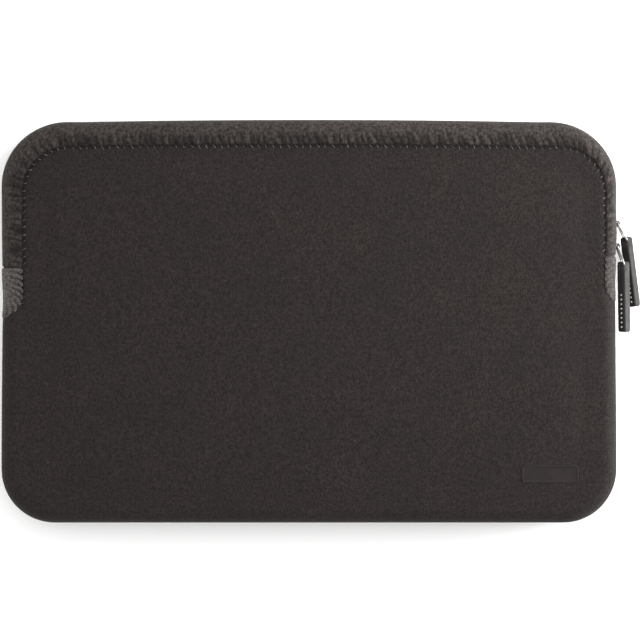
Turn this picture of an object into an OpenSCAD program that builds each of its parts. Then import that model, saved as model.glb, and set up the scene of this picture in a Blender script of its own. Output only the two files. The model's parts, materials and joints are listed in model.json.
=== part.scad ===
// Padded laptop sleeve: two neoprene panels, a zip band round the top and upper sides,
// and a two-slider zip parked at its right-hand end.
// The sleeve lies on its back: +Z out of the front panel, +X to the right, +Y to the zipped top.
// The origin is the centre of the back panel's outer face.

/* [Sleeve] */
// Width of the sleeve, side to side
sleeve_w = 316; // [285:1:420]
// Height of the sleeve, bottom to zipped top
sleeve_h = 207; // [180:1:300]
// Thickness of the sleeve, held open by its padding
sleeve_t = 25; // [23:0.5:32]
// Corner radius at the two bottom corners, in plan
bottom_r = 27.5; // [20:0.5:34]
// Corner radius at the two top corners, in plan
top_r = 34; // [26:0.5:38]
// Radius that rolls the front and back faces over onto the sides
edge_r = 8; // [6:0.5:8.5]

/* [Layers] */
// Thickness of the neoprene panels
panel_wall = 3.2; // [2.5:0.1:4]
// Thickness of the plush lining
lining_wall = 0.8; // [0.5:0.1:1.2]
// Thickness of the binding over the inner seam
binding_wall = 0.6; // [0.4:0.1:0.8]
// Width of the binding over the inner seam
binding_w = 7; // [5:0.5:8]

/* [Band] */
// Inset of the band seam from the left side
seam_left = 11.8; // [10:0.1:15]
// Inset of the band seam from the top
seam_top = 13.5; // [12:0.1:18]
// Inset of the band seam from the right side
seam_right = 6.5; // [6:0.1:12]
// Corner radius of the band seam
seam_r = 24; // [16:0.5:30]
// Height of the left end tab's top edge
left_tab_top = 27.3; // [15:0.1:30]
// Height of the right end tab's top edge
right_tab_top = 33.4; // [15:0.1:34]
// Length of the left end tab's straight inner edge
left_tab_straight = 13; // [8:0.5:16]
// Length of the right end tab's straight inner edge
right_tab_straight = 14.5; // [8:0.5:16]
// Radius of the left end tab's curved foot
left_tab_foot_r = 12.9; // [12:0.1:16]
// Radius of the right end tab's curved foot
right_tab_foot_r = 9.6; // [8:0.1:13]

/* [Stitching] */
// Distance from one stitch to the next
stitch_pitch = 3.8; // [2.5:0.1:6]
// Length of a cover stitch, across the seam
stitch_l = 3.2; // [2:0.1:3.6]
// Thickness of the sewing thread
thread_d = 0.5; // [0.3:0.05:0.55]
// Width of the trough that a band seam lies in
seam_trough = 4; // [3.8:0.1:5]
// Depth of the trough that a seam lies in
trough_depth = 0.6; // [0.5:0.05:0.9]

/* [Flap] */
// Height of the fold line at the left side
fold_left = 27.6; // [20:0.1:60]
// Height of the fold line at the right side
fold_right = 70.5; // [40:0.1:80]
// Gap between the flap and the fixed front along the fold line
fold_gap = 0.3; // [0.2:0.05:0.6]

/* [Zip] */
// Width of the slot between the two bands that shows the zip
zip_slot = 9; // [9:0.1:10]
// Thickness of the zip tape
tape_wall = 0.8; // [0.5:0.1:1]
// How far each tape runs from the middle of the slot
tape_reach = 7.7; // [6.5:0.1:8]
// Gap between the edges of the two tapes
tape_gap = 2; // [1.6:0.1:2.4]
// Height of the coil above its tape
coil_h = 1.5; // [1:0.1:1.8]
// Width of one half of the coil
coil_w = 2.3; // [1.8:0.1:2.6]
// Gap between the two halves of the coil, which the slider posts run in
coil_gap = 1.6; // [1.4:0.1:2]
// Length of a zip end stop
stop_l = 2; // [1.5:0.1:3]
// Length of tape tucked in behind each end tab
tape_tail = 8; // [4:0.5:10]

/* [Sliders] */
// Length of a slider body
slider_l = 10.6; // [8:0.1:11]
// Width of a slider body
slider_w = 8; // [7.4:0.1:8.4]
// Thickness of a slider's two plates
plate_wall = 1.1; // [0.8:0.1:1.2]
// Clearance between a slider and what runs through it
run_gap = 0.25; // [0.15:0.05:0.3]
// Gap between the two parked sliders
slider_rest_gap = 1; // [0.4:0.1:3]
// Thickness of the post that joins a slider's plates
post_w = 1; // [0.6:0.1:1]
// Width of the lug that holds the pull
lug_w = 3.4; // [2.6:0.1:3.6]
// Outer radius of the lug
lug_r = 1.5; // [1.3:0.1:1.8]

/* [Pulls] */
// Diameter of the loop wire
wire_d = 1.2; // [0.9:0.05:1.3]
// Length of a loop, lug to crossbar
loop_l = 10.2; // [8:0.1:11]
// Length of a rubber pull, crossbar to tip
pull_l = 34.5; // [24:0.5:40]
// Side of the pull's square section
pull_side = 4.9; // [4:0.1:5]
// Turn of the pull's square section about its length
pull_twist = 42; // [30:1:55]
// How far each pull hangs to its own side of the zip, so that the two can pass
pull_offset = 4.6; // [4.4:0.1:4.8]
// Angle of the upper loop, outward from straight down
loop_1_angle = 33; // [25:1:50]
// Angle of the upper pull, outward from straight down
pull_1_angle = 7; // [4:0.5:15]
// Angle of the lower loop, outward from straight down
loop_2_angle = 15; // [15:1:25]
// Angle of the lower pull, outward from straight down
pull_2_angle = 0.8; // [0.5:0.1:4]
// Number of plain raised dots on each pull
dot_count = 8; // [4:1:9]

/* [Trim] */
// Width of the blank badge
badge_w = 29; // [15:1:40]
// Height of the blank badge
badge_h = 9; // [5:0.5:14]
// Distance of the badge's centre from the right side
badge_right = 35; // [30:1:60]
// Distance of the badge's centre from the bottom
badge_up = 25.5; // [20:0.5:50]
// Width of the blank care label
label_w = 18; // [12:1:30]
// Height of the blank care label
label_h = 34; // [20:1:50]

/* [Hidden] */
$fn = 72;

face_color = "#342e2d";
band_color = "#4d4744";
tab_color = "#6b6663";
lining_color = "#4a4645";
thread_color = "#2a2423";
zip_color = "#1f1c1b";
metal_color = "#c9c9c7";
rubber_color = "#2b2827";

side_x = sleeve_w / 2;
top_y = sleeve_h / 2;
mid_z = sleeve_t / 2;
far = sleeve_w + sleeve_h;
lining_depth = panel_wall + lining_wall;
slot_lo = mid_z - zip_slot / 2;
slot_hi = mid_z + zip_slot / 2;

// the zip lies behind the band, its coil on the outer side of its tape
tape_in = panel_wall + tape_wall;
tape_out = panel_wall;
coil_out = panel_wall - coil_h;

// the sliders park against the right-hand stop, which sits in a notch of the right end tab
part_gap = 0.3;
slider_2_y = right_tab_top + slider_l / 2 + 0.1;
slider_1_y = slider_2_y + slider_l + slider_rest_gap;
lug_x = side_x + 0.9;
lug_hole_r = wire_d / 2 + run_gap;
slider_top = coil_out - run_gap - plate_wall;
slider_bottom = tape_in + run_gap + plate_wall;

// half the length of a loop's crossbar and of its neck, along Z
crossbar_half = 2.95;
neck_half = lug_w / 2 + part_gap + wire_d / 2;
shank_l = 3;
bend_swell = 0.08;
eye_w = 3.8;
eye_r = 2.2;

// stitches: how far they stay from the fold line, the closing seam's, and an end tab's loops
fold_clear = 1.2;
side_stitch_l = 2.2;
tab_stitch_l = 2;
tab_pitch = 2.2;
tab_stitch_in = 1.3;
foot_turn = 60;

// the fold line runs straight across the front face
fold_slope = (fold_right - fold_left) / sleeve_w;
fold_angle = atan(fold_slope);
function fold_y(x) = fold_left + (x + side_x) * fold_slope;

// ---------- plan shapes ----------

// Rectangle with its own radius at the bottom corners and at the top corners
module round_rect(x0, y0, x1, y1, rb, rt) {
    polygon([
        [x0 + rb, y0], [x1 - rb, y0], [x1, y0 + rb], [x1, y1 - rt],
        [x1 - rt, y1], [x0 + rt, y1], [x0, y1 - rt], [x0, y0 + rb]
    ]);
    translate([x0 + rb, y0 + rb]) circle(rb);
    translate([x1 - rb, y0 + rb]) circle(rb);
    translate([x1 - rt, y1 - rt]) circle(rt);
    translate([x0 + rt, y1 - rt]) circle(rt);
}

module outline(inset) {
    round_rect(
        -side_x + inset, -top_y + inset, side_x - inset, top_y - inset,
        bottom_r - inset, top_r - inset
    );
}

// Everything inside the band seam, run out past the bottom; grow widens it all round
module seam_field(grow) {
    x0 = -side_x + seam_left - grow;
    x1 = side_x - seam_right + grow;
    y1 = top_y - seam_top + grow;
    r = seam_r + grow;
    polygon([[x0, -far], [x1, -far], [x1, y1 - r], [x1 - r, y1], [x0 + r, y1], [x0, y1 - r]]);
    translate([x1 - r, y1 - r]) circle(r);
    translate([x0 + r, y1 - r]) circle(r);
}

// Above the end tabs, each side at its own height; lower drops it
module above_tabs(lower) {
    translate([-far, left_tab_top - lower]) square([far, far]);
    translate([-1, right_tab_top - lower]) square([far, far]);
}

module band_zone() {
    difference() {
        above_tabs(0);
        seam_field(0);
    }
}

// An end tab in plan on the right side: straight inner edge, then a curved foot
module tab_plan(w, top, straight, foot_r) {
    foot_y = top - straight;
    translate([side_x - w, foot_y]) square([far, straight]);
    intersection() {
        translate([side_x - w + foot_r, foot_y]) circle(foot_r);
        translate([side_x - w, foot_y - far]) square([far, far]);
    }
}

module left_tab_zone() {
    mirror([1, 0]) tab_plan(seam_left, left_tab_top, left_tab_straight, left_tab_foot_r);
}

module right_tab_zone() {
    tab_plan(seam_right, right_tab_top, right_tab_straight, right_tab_foot_r);
}

// The two sides of the fold line in plan
module above_fold() {
    translate([-side_x, fold_left]) rotate(fold_angle)
        translate([-far, fold_gap / 2]) square([3 * far, far]);
}

module below_fold() {
    translate([-side_x, fold_left]) rotate(fold_angle)
        translate([-far, -far - fold_gap / 2]) square([3 * far, far]);
}

module prism(z0, z1) {
    translate([0, 0, z0]) linear_extrude(z1 - z0) children();
}

// ---------- the padded slab and its layers ----------

// Section of the slab's edge at a depth below its outer surface, from an axis r inward
module edge_section(r, depth) {
    roll = edge_r - depth;
    lo = depth;
    hi = sleeve_t - depth;
    end = r - depth;
    polygon([
        [0, lo], [end - roll, lo], [end, lo + roll], [end, hi - roll], [end - roll, hi], [0, hi]
    ]);
    translate([end - roll, lo + roll]) circle(roll);
    translate([end - roll, hi - roll]) circle(roll);
}

module corner(x, y, r, depth, turn) {
    translate([x, y, 0]) rotate([0, 0, turn]) rotate_extrude(angle = 90) edge_section(r, depth);
}

// A straight run of the edge: from p, turned so that the section looks outward
module run(p, length, r, depth, turn) {
    translate([p[0], p[1], 0]) rotate([0, 0, turn]) rotate([90, 0, 0])
        linear_extrude(length) edge_section(r, depth);
}

module slab(depth) {
    bx = side_x - bottom_r;
    by = top_y - bottom_r;
    tx = side_x - top_r;
    ty = top_y - top_r;
    corner(bx, -by, bottom_r, depth, -90);
    corner(-bx, -by, bottom_r, depth, 180);
    corner(tx, ty, top_r, depth, 0);
    corner(-tx, ty, top_r, depth, 90);
    run([bx, -by], 2 * bx, bottom_r, depth, -90);
    run([-tx, ty], 2 * tx, top_r, depth, 90);
    side_r = min(bottom_r, top_r);
    run([side_x - side_r, ty], ty + by, side_r, depth, 0);
    run([-side_x + side_r, -by], ty + by, side_r, depth, 180);
    prism(depth, sleeve_t - depth)
        polygon([[-bx, -by], [bx, -by], [side_x - side_r, -by], [side_x - side_r, ty], [tx, ty],
                 [-tx, ty], [-side_x + side_r, ty], [-side_x + side_r, -by]]);
}

module layer(outer, inner) {
    difference() {
        slab(outer);
        slab(inner);
    }
}

// The troughs that the band seams lie in, front and back
module seam_troughs() {
    for (z = [-1, sleeve_t - trough_depth])
        prism(z, z + trough_depth + 1)
            intersection() {
                difference() {
                    seam_field(seam_trough / 2);
                    seam_field(-seam_trough / 2);
                }
                above_tabs(0);
            }
}

module neoprene() {
    difference() {
        layer(0, panel_wall);
        seam_troughs();
    }
}

module panel_zone(z0, z1) {
    difference() {
        prism(z0, z1) translate([-far, -far]) square(2 * far);
        prism(z0 - 1, z1 + 1) union() {
            band_zone();
            left_tab_zone();
            right_tab_zone();
        }
    }
}

// A shallow trough along the middle of the sides, below the end tabs
module side_trough() {
    trough_half = 0.8;
    prism(mid_z - trough_half, mid_z + trough_half)
        difference() {
            translate([-far, -far]) square(2 * far);
            outline(trough_depth);
        }
}

module panel_half(z0, z1) {
    difference() {
        intersection() {
            neoprene();
            panel_zone(z0, z1);
        }
        side_trough();
    }
}

module front_half() {
    panel_half(mid_z, sleeve_t + 1);
}

module in_plan(z0, z1) {
    intersection() {
        children(0);
        prism(z0, z1) children(1);
    }
}

module back_panel() {
    color(face_color) panel_half(-1, mid_z);
}

module front_panel_lower() {
    color(face_color) in_plan(0, sleeve_t + 1) {
        front_half();
        below_fold();
    }
}

module front_panel_upper() {
    color(face_color) in_plan(0, sleeve_t + 1) {
        front_half();
        above_fold();
    }
}

// ---------- zip band ----------

module band_half(z0, z1) {
    in_plan(z0, z1) {
        neoprene();
        band_zone();
    }
}

module back_band() {
    color(band_color) band_half(-1, slot_lo);
}

module front_band() {
    color(band_color) in_plan(0, sleeve_t + 1) {
        band_half(slot_hi, sleeve_t + 1);
        above_fold();
    }
}

// The short stretch of front band between the right end tab and the fold line
module front_band_end() {
    color(band_color) in_plan(0, sleeve_t + 1) {
        band_half(slot_hi, sleeve_t + 1);
        intersection() {
            below_fold();
            translate([0, -far]) square([far, 2 * far]);
        }
    }
}

// ---------- end tabs ----------

// Notch in an end tab, in front of the zip's end stop
module stop_notch(top) {
    prism(slot_lo, slot_hi)
        translate([-far, top - stop_l - part_gap]) square([2 * far, stop_l + part_gap + 1]);
}

module end_tab_left() {
    color(tab_color) difference() {
        in_plan(-1, sleeve_t + 1) {
            layer(0, panel_wall);
            left_tab_zone();
        }
        stop_notch(left_tab_top);
    }
}

module end_tab_right() {
    color(tab_color) difference() {
        in_plan(-1, sleeve_t + 1) {
            layer(0, panel_wall);
            right_tab_zone();
        }
        stop_notch(right_tab_top);
    }
}

// ---------- lining ----------

// Where the zip tape takes the lining's place, behind the band
module tape_zone() {
    intersection() {
        difference() {
            translate([-far, -far]) square(2 * far);
            outline(edge_r + 0.5);
        }
        above_tabs(tape_tail);
    }
}

module lining_half(z0, z1) {
    difference() {
        intersection() {
            layer(panel_wall, lining_depth);
            prism(z0, z1) translate([-far, -far]) square(2 * far);
        }
        prism(mid_z - tape_reach, mid_z + tape_reach) tape_zone();
    }
}

module back_lining() {
    color(lining_color) lining_half(0, mid_z);
}

module front_lining_lower() {
    color(lining_color) in_plan(0, sleeve_t) {
        lining_half(mid_z, sleeve_t);
        below_fold();
    }
}

module front_lining_upper() {
    color(lining_color) in_plan(0, sleeve_t) {
        lining_half(mid_z, sleeve_t);
        above_fold();
    }
}

// Binding over the seam between the panels, inside the pocket
module seam_binding() {
    color(band_color) prism(mid_z - binding_w / 2, mid_z + binding_w / 2)
        difference() {
            outline(lining_depth);
            outline(lining_depth + binding_wall);
            above_tabs(tape_tail + 1);
        }
}

// ---------- zip ----------

module tape_half(z0, z1) {
    intersection() {
        layer(tape_out, tape_in);
        prism(z0, z1) tape_zone();
    }
}

module front_tape() {
    tape_half(mid_z + tape_gap / 2, mid_z + tape_reach);
}

module zip_tape_back() {
    color(zip_color) tape_half(mid_z - tape_reach, mid_z - tape_gap / 2);
}

module zip_tape_front() {
    color(zip_color) in_plan(0, sleeve_t) {
        front_tape();
        above_fold();
    }
}

// The front tape's two ends, below the fold line
module zip_tape_front_ends() {
    color(zip_color) in_plan(0, sleeve_t) {
        front_tape();
        below_fold();
    }
}

module coil_half(z0, z1) {
    prism(z0, z1)
        intersection() {
            difference() {
                outline(coil_out);
                outline(panel_wall);
            }
            above_tabs(0);
        }
}

module front_coil() {
    coil_half(mid_z + coil_gap / 2, mid_z + coil_gap / 2 + coil_w);
}

module zip_coil_back() {
    color(zip_color) coil_half(mid_z - coil_gap / 2 - coil_w, mid_z - coil_gap / 2);
}

module zip_coil_front() {
    color(zip_color) in_plan(0, sleeve_t) {
        front_coil();
        above_fold();
    }
}

module zip_coil_front_end() {
    color(zip_color) in_plan(0, sleeve_t) {
        front_coil();
        intersection() {
            below_fold();
            translate([0, -far]) square([far, 2 * far]);
        }
    }
}

// A moulded block that bridges both halves of the coil at its end
module end_stop(side, top) {
    half = coil_gap / 2 + coil_w;
    prism(mid_z - half, mid_z + half)
        intersection() {
            difference() {
                outline(coil_out - 0.3);
                outline(panel_wall);
            }
            translate([side > 0 ? 0 : -far, top - stop_l - part_gap / 2]) square([far, stop_l]);
        }
}

module zip_stop_left() {
    color(zip_color) end_stop(-1, left_tab_top);
}

module zip_stop_right() {
    color(zip_color) end_stop(1, right_tab_top);
}

// ---------- sliders ----------

// A block given by its depths below the side surface, its length along Y and its width along Z
module side_block(depth_0, depth_1, y0, y1, half_z) {
    translate([side_x - depth_1, y0, mid_z - half_z]) cube([depth_1 - depth_0, y1 - y0, 2 * half_z]);
}

// A slider at height y; nose is +1 or -1, the end that its post is at
module slider(y, nose) {
    half_l = slider_l / 2;
    nose_r = 2.4;
    post_half_l = 0.9;
    coil_half_w = coil_gap / 2 + coil_w + run_gap;
    post_y = y + nose * (half_l - post_half_l - 0.4);
    difference() {
        translate([side_x - slider_bottom, y, mid_z]) rotate([0, 90, 0])
            linear_extrude(slider_bottom - slider_top)
                round_rect(-slider_w / 2, -half_l, slider_w / 2, half_l, nose_r, nose_r);
        difference() {
            union() {
                side_block(coil_out - run_gap, tape_in + run_gap, y - far, y + far, coil_half_w);
                side_block(tape_out - run_gap, tape_in + run_gap, y - far, y + far, slider_w);
            }
            side_block(-1, far, post_y - post_half_l, post_y + post_half_l, post_w / 2);
        }
    }
    lug_foot = slider_top + 0.4;
    translate([0, 0, mid_z - lug_w / 2]) linear_extrude(lug_w) difference() {
        union() {
            translate([lug_x, y]) circle(lug_r);
            translate([side_x - lug_foot, y - lug_r]) square([lug_x - side_x + lug_foot, 2 * lug_r]);
        }
        translate([lug_x, y]) circle(lug_hole_r);
    }
}

module slider_1() {
    color(zip_color) slider(slider_1_y, -1);
}

module slider_2() {
    color(zip_color) slider(slider_2_y, 1);
}

// ---------- pulls ----------

// A straight stretch of wire between two points, with a ball at its first bend
module wire(a, b) {
    ball_d = wire_d + bend_swell;
    d = b - a;
    length = norm(d);
    tilt = acos(d[2] / length);
    turn = atan2(d[1], d[0]);
    translate(a) rotate([0, tilt, turn]) cylinder(d = wire_d, h = length, $fn = 24);
    translate(a) sphere(d = ball_d, $fn = 24);
}

// A wire loop that hangs along -Y from its lug, straight past the lug and then leaning;
// side is -1 or +1, the side it hangs to
module loop_wire(side) {
    z = side * pull_offset;
    lean_y = -lug_r - part_gap;
    shank_y = -loop_l + shank_l;
    p = [
        [0, 0, -neck_half], [0, 0, neck_half], [0, lean_y, neck_half],
        [0, shank_y, z + crossbar_half], [0, -loop_l, z + crossbar_half],
        [0, -loop_l, z - crossbar_half], [0, shank_y, z - crossbar_half], [0, lean_y, -neck_half]
    ];
    for (i = [0:len(p) - 1]) wire(p[i], p[(i + 1) % len(p)]);
}

module pull_loop(y, angle, side) {
    color(metal_color) translate([lug_x, y, mid_z]) rotate([0, 0, angle]) loop_wire(side);
}

// Puts a pull's own frame at its crossbar: -Y along the pull, Z along the crossbar
module at_crossbar(y, loop_angle, pull_angle, side) {
    translate([lug_x + loop_l * sin(loop_angle), y - loop_l * cos(loop_angle), mid_z + side * pull_offset])
        rotate([0, 0, pull_angle])
            children();
}

// Rubber pull: a flat eye round the crossbar, then a square bar stood on its edge
module pull_tab() {
    bar_start = 3.4;
    half = pull_side / 2;
    color(rubber_color) difference() {
        union() {
            translate([0, 0, -eye_w / 2]) cylinder(r = eye_r, h = eye_w);
            translate([-eye_r * 0.8, -bar_start - 1, -eye_w / 2]) cube([1.6 * eye_r, bar_start + 1, eye_w]);
            translate([0, -bar_start, 0]) rotate([90, 0, 0]) linear_extrude(pull_l - bar_start)
                rotate(pull_twist) round_rect(-half, -half, half, half, 0.8, 0.8);
        }
        translate([0, 0, -eye_w]) cylinder(r = wire_d / 2 + run_gap, h = 2 * eye_w);
    }
}

// A row of plain dots down the face that looks up and inward
module pull_dots() {
    dot_r = 0.5;
    first = 15.5;
    last = 3;
    pitch = (pull_l - first - last) / (dot_count - 1);
    color(metal_color) for (i = [0:dot_count - 1])
        translate([0, -first - i * pitch, 0]) rotate([0, -pull_twist, 0]) translate([0, 0, pull_side / 2])
            cylinder(r = dot_r, h = 0.2, $fn = 24);
}

module pull_loop_1() {
    pull_loop(slider_1_y, loop_1_angle, -1);
}

module pull_loop_2() {
    pull_loop(slider_2_y, loop_2_angle, 1);
}

module pull_tab_1() {
    at_crossbar(slider_1_y, loop_1_angle, pull_1_angle, -1) pull_tab();
}

module pull_tab_2() {
    at_crossbar(slider_2_y, loop_2_angle, pull_2_angle, 1) pull_tab();
}

module pull_dots_1() {
    at_crossbar(slider_1_y, loop_1_angle, pull_1_angle, -1) pull_dots();
}

module pull_dots_2() {
    at_crossbar(slider_2_y, loop_2_angle, pull_2_angle, 1) pull_dots();
}

// ---------- stitching ----------

seam_x0 = -side_x + seam_left;
seam_x1 = side_x - seam_right;
seam_y1 = top_y - seam_top;
rise_left = seam_y1 - seam_r - left_tab_top;
rise_right = seam_y1 - seam_r - right_tab_top;
seam_arc = seam_r * PI / 2;
seam_run = seam_x1 - seam_x0 - 2 * seam_r;
seam_total = rise_left + rise_right + seam_run + 2 * seam_arc;

// Place and heading [x, y, angle] at a distance along the band seam, from its left end
function seam_at(s) =
    s < rise_left ? [seam_x0, left_tab_top + s, 90]
    : s < rise_left + seam_arc
        ? let (a = (s - rise_left) / seam_r * 180 / PI)
          [seam_x0 + seam_r - seam_r * cos(a), seam_y1 - seam_r + seam_r * sin(a), 90 - a]
    : s < rise_left + seam_arc + seam_run
        ? [seam_x0 + seam_r + s - rise_left - seam_arc, seam_y1, 0]
    : s < rise_left + 2 * seam_arc + seam_run
        ? let (a = (s - rise_left - seam_arc - seam_run) / seam_r * 180 / PI)
          [seam_x1 - seam_r + seam_r * sin(a), seam_y1 - seam_r + seam_r * cos(a), -a]
    : [seam_x1, right_tab_top + seam_total - s, -90];

module stitch(length) {
    translate([-thread_d / 2, -length / 2, 0]) cube([thread_d, length, thread_d]);
}

// Cover stitches along the band seam, those whose height above the fold line is within lo..hi
module band_stitches(z, lo, hi) {
    first = 1.5;
    count = floor((seam_total - first) / stitch_pitch - 0.1);
    for (i = [0:count]) {
        p = seam_at(first + i * stitch_pitch);
        rise = p[1] - fold_y(p[0]);
        if (rise > lo && rise < hi)
            translate([p[0], p[1], z]) rotate([0, 0, p[2]]) stitch(stitch_l);
    }
}

module front_seam_thread() {
    color(thread_color) band_stitches(sleeve_t - trough_depth, fold_clear, far);
}

module front_seam_thread_end() {
    color(thread_color) band_stitches(sleeve_t - trough_depth, -far, -fold_clear);
}

module back_seam_thread() {
    color(thread_color) band_stitches(trough_depth - thread_d, -far, far);
}

// Overlock loops fanned along an end tab's inner edge; they sit on the front face
module tab_stitches(side, w, top, straight, foot_r) {
    x_edge = side_x - w;
    n_straight = floor((straight - 1) / tab_pitch);
    n_foot = floor(foot_r * foot_turn * PI / 180 / tab_pitch);
    mirror([side < 0 ? 1 : 0, 0, 0]) translate([0, 0, sleeve_t]) {
        for (i = [0:n_straight - 1])
            translate([x_edge - tab_stitch_in, top - (i + 0.7) * tab_pitch, 0])
                rotate([0, 0, 90]) stitch(tab_stitch_l);
        for (i = [0:n_foot - 1])
            translate([x_edge + foot_r, top - straight, 0])
                rotate([0, 0, 180 + (i + 0.5) * foot_turn / n_foot])
                    translate([foot_r + tab_stitch_in, 0, 0]) rotate([0, 0, 90]) stitch(tab_stitch_l);
    }
}

module end_tab_thread() {
    color(thread_color) {
        tab_stitches(-1, seam_left, left_tab_top, left_tab_straight, left_tab_foot_r);
        tab_stitches(1, seam_right + 2, right_tab_top, right_tab_straight, right_tab_foot_r);
    }
}

// Closing stitches in the trough along the middle of the lower sides and the bottom
module side_seam_thread() {
    x = side_x - trough_depth / 2;
    y0 = -top_y + bottom_r;
    end_gap = 1.2;
    rows = floor((-y0 - end_gap) / stitch_pitch);
    cols = floor((sleeve_w - 2 * bottom_r) / stitch_pitch);
    corner_n = floor(bottom_r * PI / 2 / stitch_pitch);
    color(thread_color) translate([0, 0, mid_z - thread_d / 2]) {
        for (side = [-1, 1], i = [0:rows - 1])
            translate([side * x, y0 + (i + 0.5) * stitch_pitch, 0]) stitch(side_stitch_l);
        for (i = [0:cols - 1])
            translate([(i - (cols - 1) / 2) * stitch_pitch, -top_y + trough_depth / 2, 0])
                rotate([0, 0, 90]) stitch(side_stitch_l);
        for (side = [0, 1], i = [0:corner_n - 1])
            mirror([side, 0, 0]) translate([side_x - bottom_r, y0, 0])
                rotate([0, 0, -(i + 0.5) * 90 / corner_n])
                    translate([bottom_r - trough_depth / 2, 0, 0]) stitch(side_stitch_l);
    }
}

// ---------- trim ----------

// Blank badge, low on the right of the front
module badge() {
    badge_t = 0.4;
    badge_r = 1.5;
    color("#2a2524") prism(sleeve_t, sleeve_t + badge_t)
        translate([side_x - badge_right, -top_y + badge_up])
            round_rect(-badge_w / 2, -badge_h / 2, badge_w / 2, badge_h / 2, badge_r, badge_r);
}

// Blank care label, flat on the back lining near the left side
module care_label() {
    label_left = 24;
    label_t = 0.3;
    color("#d8d4cf") prism(lining_depth, lining_depth + label_t)
        translate([-side_x + label_left, -label_h]) square([label_w, label_h]);
}

back_panel();
back_lining();
back_band();
back_seam_thread();
front_panel_lower();
front_lining_lower();
front_band_end();
front_seam_thread_end();
front_panel_upper();
front_lining_upper();
front_band();
front_seam_thread();
end_tab_left();
end_tab_right();
end_tab_thread();
side_seam_thread();
seam_binding();
zip_tape_back();
zip_tape_front();
zip_tape_front_ends();
zip_coil_back();
zip_coil_front();
zip_coil_front_end();
zip_stop_left();
zip_stop_right();
slider_1();
pull_loop_1();
pull_tab_1();
pull_dots_1();
slider_2();
pull_loop_2();
pull_tab_2();
pull_dots_2();
badge();
care_label();
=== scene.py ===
"""Looks of a padded laptop sleeve: neoprene panels, zip band, elastic tabs, zip, pulls and trim.

Every length is in metres. The sleeve lies on its back: +Z out of the front, +Y to the zipped top.
"""

import json
import math

import bpy
import numpy as np
from bpy.props import FloatProperty, FloatVectorProperty, IntProperty, PointerProperty
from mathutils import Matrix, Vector
from mathutils.kdtree import KDTree


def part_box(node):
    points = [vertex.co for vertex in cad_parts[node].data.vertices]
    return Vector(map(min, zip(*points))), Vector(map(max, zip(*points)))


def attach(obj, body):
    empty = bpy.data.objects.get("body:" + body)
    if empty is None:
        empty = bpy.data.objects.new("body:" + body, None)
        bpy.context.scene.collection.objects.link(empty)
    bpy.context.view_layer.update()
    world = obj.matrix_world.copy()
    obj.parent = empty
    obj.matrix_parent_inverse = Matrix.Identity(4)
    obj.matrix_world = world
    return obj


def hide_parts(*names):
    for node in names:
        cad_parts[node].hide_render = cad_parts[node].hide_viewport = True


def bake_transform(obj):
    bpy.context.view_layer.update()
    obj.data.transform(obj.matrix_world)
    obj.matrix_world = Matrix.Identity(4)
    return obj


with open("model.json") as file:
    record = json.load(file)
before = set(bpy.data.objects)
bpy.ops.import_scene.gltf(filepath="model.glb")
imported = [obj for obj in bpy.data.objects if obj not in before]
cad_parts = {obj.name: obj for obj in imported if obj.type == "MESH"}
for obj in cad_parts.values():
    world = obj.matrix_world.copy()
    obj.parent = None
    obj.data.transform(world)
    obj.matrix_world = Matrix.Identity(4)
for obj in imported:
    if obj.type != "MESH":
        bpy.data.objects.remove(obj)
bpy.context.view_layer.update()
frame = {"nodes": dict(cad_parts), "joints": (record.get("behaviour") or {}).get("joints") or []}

bl_info = {
    "name": "Laptop Sleeve",
    "version": (1, 0, 0),
    "blender": (4, 5, 0),
    "location": "View3D > Sidebar > Sleeve",
    "description": "Builds a padded laptop sleeve around its packed frame",
    "category": "Object",
}

MM = 0.001
REST_ATTRIBUTE = "cloth"
# painted shading: light and shade painted into the cloth's colour, kept per point on the mesh
SHADE_ATTRIBUTE = "painted_shading"
RIM_SHADE = 0.6          # cut edges of the cloth
REST_GAP = 0.03 * MM     # nothing lies lower than this over the floor

# ---------- places read from the frame ----------

SIDE_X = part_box("back_panel")[1].x
TOP_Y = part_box("back_band")[1].y
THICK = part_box("front_band")[1].z
MID_Z = THICK / 2
SLOT_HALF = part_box("front_band")[0].z - MID_Z
LEFT_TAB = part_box("end_tab_left")
RIGHT_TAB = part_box("end_tab_right")
SEAM_LEFT = LEFT_TAB[1].x + SIDE_X
SEAM_RIGHT = SIDE_X - RIGHT_TAB[0].x
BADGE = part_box("badge")
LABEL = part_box("care_label")
JOINTS = {j["name"]: j for j in frame["joints"]}


def measure(name, description, value):
    return FloatProperty(name=name, description=description, default=value, unit="LENGTH")


def tilt(name, description, degrees):
    return FloatProperty(name=name, description=description, default=math.radians(degrees), unit="ROTATION")


class SleeveSizes(bpy.types.PropertyGroup):
    """Sizes of the sewn pieces."""

    bottom_r: measure("Bottom corner", "Corner radius at the bottom", 27.5 * MM)
    top_r: measure("Top corner", "Corner radius at the zipped top", 34 * MM)
    edge_r: measure("Edge roll", "Radius that rolls the faces onto the sides", 8 * MM)
    seam_r: measure("Seam corner", "Corner radius of the band seam", 24 * MM)
    seam_top: measure("Seam below top", "Inset of the band seam from the top", 13.5 * MM)
    panel_wall: measure("Neoprene", "Thickness of the neoprene", 3.2 * MM)
    lining_wall: measure("Lining", "Thickness of the plush lining", 0.7 * MM)
    stitch_pitch: measure("Stitch pitch", "Distance between cover stitches", 3.8 * MM)
    thread_d: measure("Thread", "Thickness of the sewing thread", 0.55 * MM)
    seam_sink: measure("Seam depth", "How deep the seam pulls the neoprene in", 0.9 * MM)
    lump: measure("Lump height", "Height of the gathers beside the seam", 0.55 * MM)
    swell: measure("Swell", "How far the padding may swell the faces", 1.0 * MM)


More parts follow.
